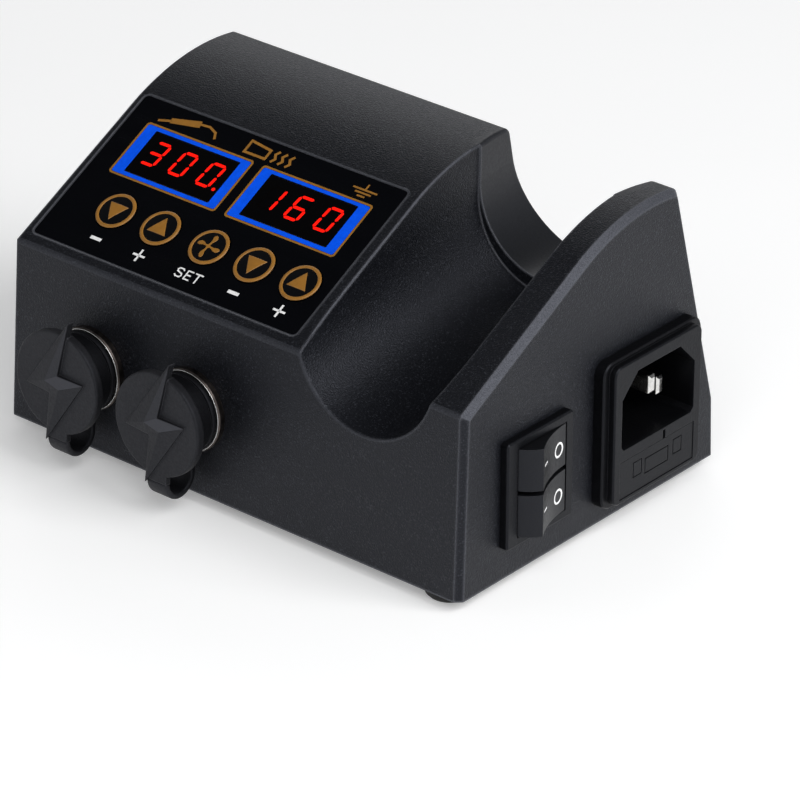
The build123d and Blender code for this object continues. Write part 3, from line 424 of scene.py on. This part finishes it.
# Paler metal than the nickel, for the bead on each flange's front edge: a painted highlight.
HIGHLIGHT_METAL = metal("flange_highlight", (0.88, 0.88, 0.87), (0.98, 0.98, 0.97), 0.4, 900, edge=0.00005)
STEEL = metal("zinc_steel", (0.38, 0.38, 0.40), (0.56, 0.56, 0.58), 0.3, 900)
ALUMINIUM = metal("aluminium", (0.5, 0.5, 0.52), (0.7, 0.7, 0.72), 0.32, 500, (1, 1, 8))
GOLD_CONTACT = metal("gold_contact", (0.7, 0.5, 0.18), (0.9, 0.68, 0.3), 0.2, 900)
SLEEVE = moulded("capacitor_sleeve", (0.01, 0.015, 0.05), (0.02, 0.03, 0.08), 300, 0.00002, 0.3)
OVERLAY_FILM = glossy_film("overlay_film", (0.0007, 0.0009, 0.0018), 0.22, 0.05)
LENS_FILM = glossy_film("display_lens", (0.0005, 0.0004, 0.0006), 0.12, 0.05)
BUTTON_FILM = glossy_film("button_film", (0.0012, 0.0014, 0.0022), 0.2, 0.5)
MODULE_PLASTIC = moulded("display_module", (0.02, 0.02, 0.02), (0.03, 0.03, 0.03), 2000, 0.00002, 0.4)
GOLD_INK = ink("gold_ink", (0.33, 0.145, 0.018))
BLUE_INK = ink("blue_ink", (0.0, 0.10, 0.95), 0.4, 0.15)
WHITE_INK = ink("white_ink", (0.96, 0.96, 0.96))
RED_LIT = lit("red_segment", (1.0, 0.008, 0.003), 1.05)
UNLIT = ink("unlit_segment", (0.0009, 0.0005, 0.0006), 0.16, 0.12)
BOARD = board_material()
FUSE_GLASS = clear_glass("fuse_glass", (0.9, 0.95, 0.95), 0.3, 0.05)

FINISH = {
    "main_shell": HOUSING_PLASTIC,
    "bottom_cover": COVER_PLASTIC,
    "rubber_feet": FOOT_RUBBER,
    "cover_screws": STEEL,
    "board_screws": STEEL,
    "panel_overlay": OVERLAY_FILM,
    "display_windows": LENS_FILM,
    "left_display": MODULE_PLASTIC,
    "right_display": MODULE_PLASTIC,
    "tact_switches": COMPONENT,
    "control_board": BOARD,
    "control_chips": COMPONENT,
    "socket_nuts": STEEL,
    "switch_housing": SWITCH_PLASTIC,
    "rocker_pin": STEEL,
    "upper_rocker": ROCKER_PLASTIC,
    "lower_rocker": ROCKER_PLASTIC,
    "switch_terminals": STEEL,
    "inlet_body": INLET_PLASTIC,
    "inlet_pins": NICKEL,
    "fuse_drawer": INLET_PLASTIC,
    "fuse_tube": FUSE_GLASS,
    "fuse_caps": NICKEL,
    "power_board": BOARD,
    "transformer_core": FERRITE,
    "transformer_coil": COIL_TAPE,
    "capacitors": SLEEVE,
    "heat_sink": ALUMINIUM,
    "triacs": COMPONENT,
    "terminal_block": TERMINAL_GREEN,
    "rectifier": COMPONENT,
}
for key in BUTTONS:
    FINISH[key + "_button"] = BUTTON_FILM
for key in SOCKETS:
    FINISH[key + "_socket_shell"] = SHADED_NICKEL
    FINISH[key + "_socket_insert"] = INSULATOR
    FINISH[key + "_socket_pins"] = GOLD_CONTACT
    FINISH[key + "_dust_cap"] = RUBBER
    FINISH[key + "_cap_strap"] = STRAP_RUBBER
for name, material in FINISH.items():
    mesh = NODES[name].data
    mesh.materials.clear()
    mesh.materials.append(material)


# ------------------------------------------------------------------ meshes
def add_mesh(name, points, faces, material, smooth=False):
    """New object from points in row-frame metres."""
    mesh = bpy.data.meshes.new(name)
    mesh.from_pydata(points, [], faces)
    mesh.validate()
    if smooth:
        mesh.polygons.foreach_set("use_smooth", [True] * len(mesh.polygons))
    mesh.materials.append(material)
    obj = bpy.data.objects.new(name, mesh)
    bpy.context.scene.collection.objects.link(obj)
    return obj


def skin(rows):
    """Faces between successive closed rows of point numbers."""
    faces = []
    for a, b in zip(rows, rows[1:]):
        for i in range(len(a)):
            j = (i + 1) % len(a)
            faces.append([a[i], a[j], b[j], b[i]])
    return faces


def ring_skin(start, around, section):
    """Faces of a closed ring whose sections follow one another round it."""
    faces = []
    for i in range(around):
        j = (i + 1) % around
        for k in range(section):
            m = (k + 1) % section
            faces.append([start + i * section + k, start + j * section + k,
                          start + j * section + m, start + i * section + m])
    return faces


# ------------------------------------------------------------------ printed shapes
class Print:
    """Collects flat shapes in a plane's millimetres and makes one thin raised mesh of them."""

    def __init__(self, matrix, low, high):
        self.matrix = matrix
        self.low = low
        self.high = high
        self.vertices = []
        self.faces = []

    def level(self, points, height):
        start = len(self.vertices)
        self.vertices += [(x, y, height) for x, y in points]
        return list(range(start, start + len(points)))

    def shape(self, points):
        """Filled outline, given anticlockwise."""
        top = self.level(points, self.high)
        bottom = self.level(points, self.low)
        self.faces.append(top)
        self.sides(top, bottom)

    def sides(self, top, bottom):
        count = len(top)
        for i in range(count):
            j = (i + 1) % count
            self.faces.append([bottom[i], bottom[j], top[j], top[i]])

    def band(self, outer, inner):
        """Closed band between two outlines with the same number of points."""
        top_out = self.level(outer, self.high)
        top_in = self.level(inner, self.high)
        low_out = self.level(outer, self.low)
        low_in = self.level(inner, self.low)
        count = len(outer)
        for i in range(count):
            j = (i + 1) % count
            self.faces.append([top_out[i], top_out[j], top_in[j], top_in[i]])
            self.faces.append([low_out[i], low_out[j], top_out[j], top_out[i]])
            self.faces.append([low_in[j], low_in[i], top_in[i], top_in[j]])

    def line(self, points, width, closed=False):
        """Stroke along points, with mitred corners and square ends."""
        half = width / 2
        count = len(points)
        left = []
        right = []
        for i, (x, y) in enumerate(points):
            before = points[i - 1] if i or closed else None
            after = points[(i + 1) % count] if i + 1 < count or closed else None
            steps = []
            if before is not None:
                steps.append(Vector((x - before[0], y - before[1])).normalized())
            if after is not None:
                steps.append(Vector((after[0] - x, after[1] - y)).normalized())
            middle = sum(steps, Vector((0, 0))).normalized()
            normal = Vector((-middle.y, middle.x))
            reach = half / max(0.35, normal.dot(Vector((-steps[0].y, steps[0].x))))
            left.append((x + normal.x * reach, y + normal.y * reach))
            right.append((x - normal.x * reach, y - normal.y * reach))
        if closed:
            self.band(right, left)
            return
        for i in range(count - 1):
            self.shape([right[i], right[i + 1], left[i + 1], left[i]])

    def piece(self, name, material, body, slot):
        obj = add_mesh(name, [self.matrix @ Vector(v) for v in self.vertices], self.faces, material)
        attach(obj, body)


def circle(x, y, radius, count=48):
    turns = [2 * math.pi * i / count for i in range(count)]
    return [(x + radius * math.cos(turn), y + radius * math.sin(turn)) for turn in turns]


def grown(left, low, right, high, by):
    """A rectangle with each side moved outward."""
    return left - by, low - by, right + by, high + by


def rounded(left, low, right, high, radius, steps=6):
    """Rounded rectangle, anticlockwise from its lower right corner."""
    points = []
    corners = [(right - radius, low + radius, -90), (right - radius, high - radius, 0),
               (left + radius, high - radius, 90), (left + radius, low + radius, 180)]
    for x, y, start in corners:
        for i in range(steps + 1):
            angle = math.radians(start + 90 * i / steps)
            points.append((x + radius * math.cos(angle), y + radius * math.sin(angle)))
    return points


# ------------------------------------------------------------------ panel prints
# Left, low, right and high edge of each display's blue surround, and of the lens within it.
DISPLAYS = {"left": (8.67, 23.69, 37.49, 37.32), "right": (41.05, 23.69, 69.91, 37.32)}
WINDOWS = {"left": (11.5, 24.6, 35.2, 36.4), "right": (43.65, 24.7, 67.35, 36.5)}

INK_LAYER = (OVERLAY_TOP - 0.02, OVERLAY_TOP + 0.03)
MARK_HEIGHT = 7.2               # middle of the white marks below the buttons, up the slope
LETTER_TOP = 8.15
LETTER_LOW = 6.0
LETTER_STROKE = 0.33

gold = Print(PANEL, *INK_LAYER)
blue = Print(PANEL, *INK_LAYER)
for key, surround in DISPLAYS.items():
    blue.band(rounded(*surround, 0.5), rounded(*WINDOWS[key], 0.3))
    gold.band(rounded(*grown(*surround, 0.55), 0.8), rounded(*grown(*surround, 0.1), 0.5))
blue.piece("display_surround_print", BLUE_INK, "housing", "overlay")

# Two generic tool pictograms above the displays and an earth symbol at the right.
gold.line([(9.8, 39.0), (13.0, 39.9)], 0.6)
gold.shape([(12.9, 39.3), (20.2, 40.7), (19.8, 42.4), (12.6, 40.6)])
gold.line([(20.0, 41.6), (22.4, 41.8), (24.6, 40.9), (25.4, 39.4)], 0.55)
gold.line([(33.9, 39.2), (39.6, 39.2), (39.6, 41.6), (33.9, 42.3)], 0.6, closed=True)
for step in range(3):
    x = 41.2 + 2.0 * step
    gold.line([(x, 39.0), (x + 0.7, 40.0), (x, 41.1), (x + 0.7, 42.1)], 0.6)
for length, up in ((6.4, 40.6), (4.2, 39.75), (2.0, 38.9)):
    gold.line([(66.0 - length / 2, up), (66.0 + length / 2, up)], 0.42)
gold.line([(66.0, 40.7), (66.0, 42.2)], 0.42)
gold.piece("panel_gold_print", GOLD_INK, "housing", "overlay")

white = Print(PANEL, *INK_LAYER)
for x in (17.6, 55.8):
    white.line([(x - 1.45, MARK_HEIGHT), (x + 1.45, MARK_HEIGHT)], 0.8)
for x in (29.7, 68.2):
    white.line([(x - 1.6, MARK_HEIGHT), (x + 1.6, MARK_HEIGHT)], 0.5)
    white.line([(x, MARK_HEIGHT - 1.6), (x, MARK_HEIGHT + 1.6)], 0.5)
white.line([(42.05, 7.75), (41.6, LETTER_TOP), (40.75, LETTER_TOP), (40.35, 7.75), (40.55, 7.3), (41.85, 6.9),
            (42.05, 6.45), (41.7, LETTER_LOW), (40.75, LETTER_LOW), (40.3, 6.4)], LETTER_STROKE)
white.line([(44.4, LETTER_TOP), (42.95, LETTER_TOP), (42.95, LETTER_LOW), (44.4, LETTER_LOW)], LETTER_STROKE)
white.line([(42.95, 7.1), (44.2, 7.1)], LETTER_STROKE)
white.line([(44.9, LETTER_TOP), (47.0, LETTER_TOP)], LETTER_STROKE)
white.line([(45.95, LETTER_TOP), (45.95, 5.8)], LETTER_STROKE)
white.piece("panel_white_print", WHITE_INK, "housing", "overlay")

# Painted highlight: a pale band along the film's cut edge, all round.
FILM = (2.62, 2.97, 75.68, 43.98)
FILM_EDGE = 0.18
film_highlight = Print(PANEL, -0.5, 0.0)
film_highlight.band(rounded(*FILM, 1.28, 10), rounded(*grown(*FILM, -FILM_EDGE), 1.1, 10))
film_highlight.piece("panel_film_edge", ink("film_edge_highlight", (0.045, 0.047, 0.055), 0.3), "housing", "overlay")


# ------------------------------------------------------------------ display digits
SEGMENTS = {"0": "abcdef", "1": "bc", "3": "abgcd", "6": "afgedc"}
DIGIT_LOW = 28.1
DIGIT_WIDTH = 3.45
DIGIT_HEIGHT = 5.9
DIGIT_SLANT = 0.11
BAR_THICKNESS = 0.68
BAR_GAP = 0.14


def segment_shapes(x):
    """Outlines of a digit's seven bars, keyed a to g, leaning to the right."""
    low = DIGIT_LOW
    mid = low + DIGIT_HEIGHT / 2
    top = low + DIGIT_HEIGHT
    width = DIGIT_WIDTH
    h = BAR_THICKNESS / 2

    def lean(points):
        return [(px + (py - low) * DIGIT_SLANT, py) for px, py in points]

    def flat(y):
        left, right = x + BAR_GAP, x + width - BAR_GAP
        return [(left, y), (left + h, y - h), (right - h, y - h),
                (right, y), (right - h, y + h), (left + h, y + h)]

    def upright(cx, y0, y1):
        bottom, peak = y0 + BAR_GAP, y1 - BAR_GAP
        return [(cx, bottom), (cx + h, bottom + h), (cx + h, peak - h),
                (cx, peak), (cx - h, peak - h), (cx - h, bottom + h)]

    return {
        "a": lean(flat(top)), "g": lean(flat(mid)), "d": lean(flat(low)),
        "b": lean(upright(x + width, mid, top)), "c": lean(upright(x + width, low, mid)),
        "f": lean(upright(x, mid, top)), "e": lean(upright(x, low, mid)),
    }


def digits(key, text, starts, dot=None):
    """Lit and unlit bars of a display, just above its lens."""
    on = Print(PANEL, OVERLAY_TOP, OVERLAY_TOP + 0.03)
    off = Print(PANEL, OVERLAY_TOP, OVERLAY_TOP + 0.02)
    for char, start in zip(text, starts):
        for bar, points in segment_shapes(start).items():
            (on if bar in SEGMENTS[char] else off).shape(points)
    if dot is not None:
        on.shape(circle(dot, DIGIT_LOW, 0.42, 16))
    on.piece(key + "_display_lit", RED_LIT, "housing", "display")
    off.piece(key + "_display_unlit", UNLIT, "housing", "display")


digits("left", "300", (13.5, 21.15, 28.9), 34.0)
digits("right", "160", (45.9, 53.25, 61.2))


# ------------------------------------------------------------------ button prints
BUTTON_RIM = 0.05               # edge of a button's dome, above the slope
BUTTON_DOME = 0.35


def dome_height(radius):
    """Height of the button's dome above the slope."""
    sphere = (BUTTON_RADIUS**2 + BUTTON_DOME**2) / (2 * BUTTON_DOME)
    return BUTTON_RIM + math.sqrt(sphere**2 - radius**2) - (sphere - BUTTON_DOME)


class DomePrint(Print):
    """Print that follows the dome of a button centred at x."""

    def __init__(self, x):
        super().__init__(PANEL, 0, 0)
        self.x = x

    def level(self, points, height):
        start = len(self.vertices)
        for x, y in points:
            away = math.hypot(x - self.x, y - BUTTON_ROW)
            self.vertices.append((x, y, dome_height(min(away, BUTTON_RADIUS)) + height))
        return list(range(start, start + len(points)))

    def shape(self, points):
        centre = (sum(p[0] for p in points) / len(points), sum(p[1] for p in points) / len(points))
        fine = []
        for i, (x, y) in enumerate(points):
            nx, ny = points[(i + 1) % len(points)]
            for k in range(6):
                fine.append((x + (nx - x) * k / 6, y + (ny - y) * k / 6))
        cx, cy = centre
        rings = []
        for size, up in ((1.0, 0.03), (0.93, 0.09), (0.66, 0.1), (0.33, 0.1)):
            smaller = [(cx + (x - cx) * size, cy + (y - cy) * size) for x, y in fine]
            rings.append(self.level(smaller, up))
        peak = self.level([centre], 0.1)[0]
        count = len(fine)
        self.faces += skin(rings)
        for i in range(count):
            self.faces.append([rings[-1][i], rings[-1][(i + 1) % count], peak])
        self.sides(rings[0], self.level(fine, -0.03))

    def ring(self, outer, inner, count=72):
        """Raised bead round the button."""
        rows = []
        for k in range(9):
            angle = math.pi * k / 8
            radius = (outer + inner) / 2 + (outer - inner) / 2 * math.cos(angle)
            rows.append(self.level(circle(self.x, BUTTON_ROW, radius, count), 0.22 * math.sin(angle) - 0.01))
        self.faces += skin(rows)


FAN_BLADE = [(0.2, -0.2), (1.0, -0.3), (1.7, -0.62), (2.4, -0.68), (2.95, -0.3), (3.05, 0.15), (2.75, 0.45),
             (2.2, 0.42), (1.5, 0.15), (0.9, 0.12), (0.2, 0.2)]

for key, x in BUTTONS.items():
    mark = DomePrint(x)
    mark.ring(4.57, 3.75)
    y = BUTTON_ROW
    if key.endswith("up"):
        mark.shape([(x - 2.5, y - 1.6), (x + 2.5, y - 1.6), (x, y + 2.7)])
    elif key.endswith("down"):
        mark.shape([(x - 2.5, y + 1.6), (x, y - 2.7), (x + 2.5, y + 1.6)])
    else:
        for turn in range(4):
            angle = math.radians(90 * turn - 4)
            mark.shape([(x + px * math.cos(angle) - py * math.sin(angle),
                         y + px * math.sin(angle) + py * math.cos(angle)) for px, py in FAN_BLADE])
        mark.shape(circle(x, y, 0.5, 16))
    mark.piece(key + "_button_print", GOLD_INK, key + "_button", "button")


# ------------------------------------------------------------------ cap straps
STRAP_WIDTH = 5.4
STRAP_THICKNESS = 1.3
STRAP_SHIFT = 0.4               # strap's middle, right of the socket's axis
STRAP_TOP = 8.2                 # strap's start at the collar, below the socket's axis
STRAP_DROP = 12.9               # centre of the strap's bend, below the socket's axis
STRAP_CORNER = 0.35
STRAP_BACK = 1.8                # collar's back, out from the front wall
COLLAR_INNER = 7.74             # radii of the collar
COLLAR_FLAT = 8.45              # its faces are flat up to here
COLLAR_OUTER = 8.68


def strap_path():
    """Middle line of a strap, as (out, up): down from the collar, then round the bend to the cap."""
    half = STRAP_THICKNESS / 2
    bend = (CAP_FRONT - STRAP_BACK) / 2
    reach = bend - half
    drop = SOCKET_HEIGHT - STRAP_DROP
    step = (STRAP_DROP - STRAP_TOP) / 6
    path = [(STRAP_BACK + half, SOCKET_HEIGHT - STRAP_TOP - k * step) for k in range(6)]
    for k in range(25):
        angle = math.pi + math.pi * k / 24
        path.append((STRAP_BACK + bend + reach * math.cos(angle), drop + reach * math.sin(angle)))
    return path


def strap_section():
    """Outline across a strap: a rectangle with rounded corners."""
    wide = STRAP_WIDTH / 2 - STRAP_CORNER
    high = STRAP_THICKNESS / 2 - STRAP_CORNER
    section = []
    for cx, cy, start in ((wide, high, 0), (-wide, high, 90), (-wide, -high, 180), (wide, -high, 270)):
        for k in range(4):
            angle = math.radians(start + 30 * k)
            section.append((cx + STRAP_CORNER * math.cos(angle), cy + STRAP_CORNER * math.sin(angle)))
    return section


def strap(key, x):
    """Collar round the socket and a rounded band bending up to the cap's lower edge."""
    middle = x + STRAP_SHIFT
    path = strap_path()
    section = strap_section()
    vertices = []
    for i, (out, up) in enumerate(path):
        a = Vector(path[max(0, i - 1)])
        b = Vector(path[min(len(path) - 1, i + 1)])
        along = (b - a).normalized()
        normal = Vector((-along.y, along.x))
        for across, height in section:
            vertices.append((middle + across, up + normal.y * height, out + normal.x * height))
    count = len(section)
    rows = [list(range(i * count, (i + 1) * count)) for i in range(len(path))]
    faces = skin(rows) + [rows[0][::-1], rows[-1]]
    start = len(vertices)
    ring_count = 72
    front = STRAP_BACK + STRAP_THICKNESS
    profile = [(COLLAR_INNER, STRAP_BACK + 0.05), (COLLAR_FLAT, STRAP_BACK), (COLLAR_OUTER, STRAP_BACK + 0.25),
               (COLLAR_OUTER, front - 0.25), (COLLAR_FLAT, front), (COLLAR_INNER, front - 0.05)]
    for i in range(ring_count):
        angle = 2 * math.pi * i / ring_count
        for radius, out in profile:
            vertices.append((x + radius * math.cos(angle), SOCKET_HEIGHT + radius * math.sin(angle), out))
    faces += ring_skin(start, ring_count, len(profile))
    points = [FRONT @ Vector(v) for v in vertices]
    obj = add_mesh(key + "_strap_band", points, faces, STRAP_RUBBER, smooth=True)
    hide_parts(key + "_cap_strap")
    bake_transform(obj)


def flange_highlight(key, x):
    """Fine bead round the front of a socket's flange, standing for its polished edge, in a pale metal that
    paints its highlight.
    """
    radius, bead, out = 8.84, 0.09, 1.74
    around, section = 120, 10
    vertices = []
    for i in range(around):
        turn = 2 * math.pi * i / around
        for k in range(section):
            angle = 2 * math.pi * k / section
            reach = radius + bead * math.cos(angle)
            vertices.append((x + reach * math.cos(turn), SOCKET_HEIGHT + reach * math.sin(turn),
                             out + bead * math.sin(angle)))
    obj = add_mesh(key + "_socket_bright_edge", [FRONT @ Vector(v) for v in vertices],
                   ring_skin(0, around, section), HIGHLIGHT_METAL, smooth=True)
    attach(obj, "housing")


for key, x in SOCKETS.items():
    strap(key, x)
    flange_highlight(key, x)


# ------------------------------------------------------------------ rocker marks
PIVOT = Vector((23.7, 19.3, -1.6))      # between the rockers, on the right wall
HALF_THROW = math.radians(17.5)
ROCKER_MIDDLE = 5.2             # a rocker's middle, above or below the pivot
RING_X = 3.5
RING_RADII = (1.7, 1.22)
RING_POINTS = 40
DASH_X = -4.6
DASH_STEP = 0.44
DASH_HALF_WIDTH = 0.22


def rocker_plane(up):
    """Plane across a rocker's face, with the rocker's own rest turn."""
    turn = Matrix.Rotation(HALF_THROW, 4, Vector((0, 1, 0)))
    return SIDE @ Matrix.Translation(PIVOT + Vector((0, up, 0))) @ turn


def face_height(x):
    """Height of the hollowed rocker face above its pivot."""
    half, rim, sag = 6.13, 5.67, 0.75
    radius = (half**2 + sag**2) / (2 * sag)
    return rim - sag + radius - math.sqrt(radius**2 - x**2)


def on_face(points):
    """Points on a rocker's face, just above its surface."""
    return [(px, py, face_height(px) + 0.03) for px, py in points]


def rocker_marks(key, middle, ring_shift):
    """Ring and dash printed on one rocker."""
    marks = Print(rocker_plane(middle), 0, 0)
    for radius in RING_RADII:
        marks.vertices += on_face(circle(RING_X, ring_shift, radius, RING_POINTS))
    outer = list(range(RING_POINTS))
    marks.faces += skin([outer, [RING_POINTS + i for i in outer]])
    start = len(marks.vertices)
    steps = [DASH_X + DASH_STEP * k for k in range(6)]
    for side in (-DASH_HALF_WIDTH, DASH_HALF_WIDTH):
        marks.vertices += on_face([(px, side) for px in steps])
    for i in range(5):
        marks.faces.append([start + i, start + i + 1, start + 7 + i, start + 6 + i])
    marks.piece(key + "_rocker_print", WHITE_INK, key + "_rocker", "rocker")


rocker_marks("upper", ROCKER_MIDDLE, -0.3)
rocker_marks("lower", -ROCKER_MIDDLE, -0.5)


# ------------------------------------------------------------------ floor, light and camera
def stage_floor():
    """Pale paper floor, just under the feet."""
    size = 6.0
    n = Nodes("floor_paper")
    tone = n.ramp(n.noise(3, 2.0), 0.3, 0.7)
    n.finish(n.mix(tone, rgb(0.90, 0.90, 0.90), rgb(0.93, 0.93, 0.93)), 0.7, Emission_Color=(1, 1, 1, 1),
             Emission_Strength=0.25)
    corners = [(-size, -size, 0), (size, -size, 0), (size, size, 0), (-size, size, 0)]
    obj = add_mesh("floor", corners, [[0, 1, 2, 3]], n.material)
    obj.location.z = -0.0002


def area_light(name, place, target, size, power):
    """Rectangular softbox at a place, facing a target."""
    data = bpy.data.lights.new(name, "AREA")
    data.shape = "RECTANGLE"
    data.size, data.size_y = size
    data.energy = power
    obj = bpy.data.objects.new(name, data)
    obj.location = place
    obj.rotation_euler = (Vector(target) - Vector(place)).to_track_quat("-Z", "Y").to_euler()
    bpy.context.scene.collection.objects.link(obj)


stage_floor()
area_light("front_softbox", (0.50, -0.62, 0.80), (0, 0, 0.03), (0.6, 0.6), 4.0)
area_light("right_softbox", (0.88, 0.10, 0.80), (0.05, 0, 0.05), (0.8, 0.8), 10.0)
area_light("back_softbox", (-0.62, 0.75, 0.55), (0, 0, 0.05), (0.7, 0.4), 1.4)
area_light("left_softbox", (-0.62, -0.80, 0.44), (-0.02, 0, 0.04), (0.4, 0.3), 0.6)

world = bpy.data.worlds.new("studio")
world.use_nodes = True
tree = world.node_tree
direction = tree.nodes.new("ShaderNodeTexCoord").outputs["Generated"]
axes = tree.nodes.new("ShaderNodeSeparateXYZ")
fade = tree.nodes.new("ShaderNodeMapRange")
tree.links.new(direction, axes.inputs[0])
tree.links.new(axes.outputs[2], fade.inputs["Value"])
for key, number in (("From Min", 0.0), ("From Max", 0.6), ("To Min", 0.75), ("To Max", 0.08)):
    fade.inputs[key].default_value = number
background = tree.nodes["Background"]
background.inputs["Color"].default_value = rgb(0.95, 0.97, 1.0)
tree.links.new(fade.outputs[0], background.inputs["Strength"])
bpy.context.scene.world = world
bpy.context.scene.view_settings.view_transform = "Standard"


CAMERA_PLACE = (658.99, -672.61, 498.98)
CAMERA_TURN = (39.386, 27.775, 0.984)       # azimuth, elevation and roll, degrees
FOCAL_PIXELS = 4980.4
IMAGE_WIDTH = 800.0
SENSOR_WIDTH = 36.0


def photo_camera():
    """Camera at the photograph's angle, distance and focal length."""
    azimuth, elevation, roll = [math.radians(angle) for angle in CAMERA_TURN]
    forward = Vector((-math.sin(azimuth) * math.cos(elevation), math.cos(azimuth) * math.cos(elevation),
                      -math.sin(elevation)))
    level = Vector((math.cos(azimuth), math.sin(azimuth), 0))
    upright = level.cross(forward)
    right = level * math.cos(roll) + upright * math.sin(roll)
    up = upright * math.cos(roll) - level * math.sin(roll)
    place = HOUSING @ Vector(CAMERA_PLACE)
    data = bpy.data.cameras.new("camera")
    data.sensor_width = SENSOR_WIDTH
    data.lens = FOCAL_PIXELS * SENSOR_WIDTH / IMAGE_WIDTH
    data.clip_start = 0.05
    data.clip_end = 50.0
    obj = bpy.data.objects.new("camera", data)
    turn = Matrix((right, up, -forward)).transposed().to_4x4()
    obj.matrix_world = Matrix.Translation(place) @ turn
    bpy.context.scene.collection.objects.link(obj)
    bpy.context.scene.camera = obj


photo_camera()
bpy.context.view_layer.update()
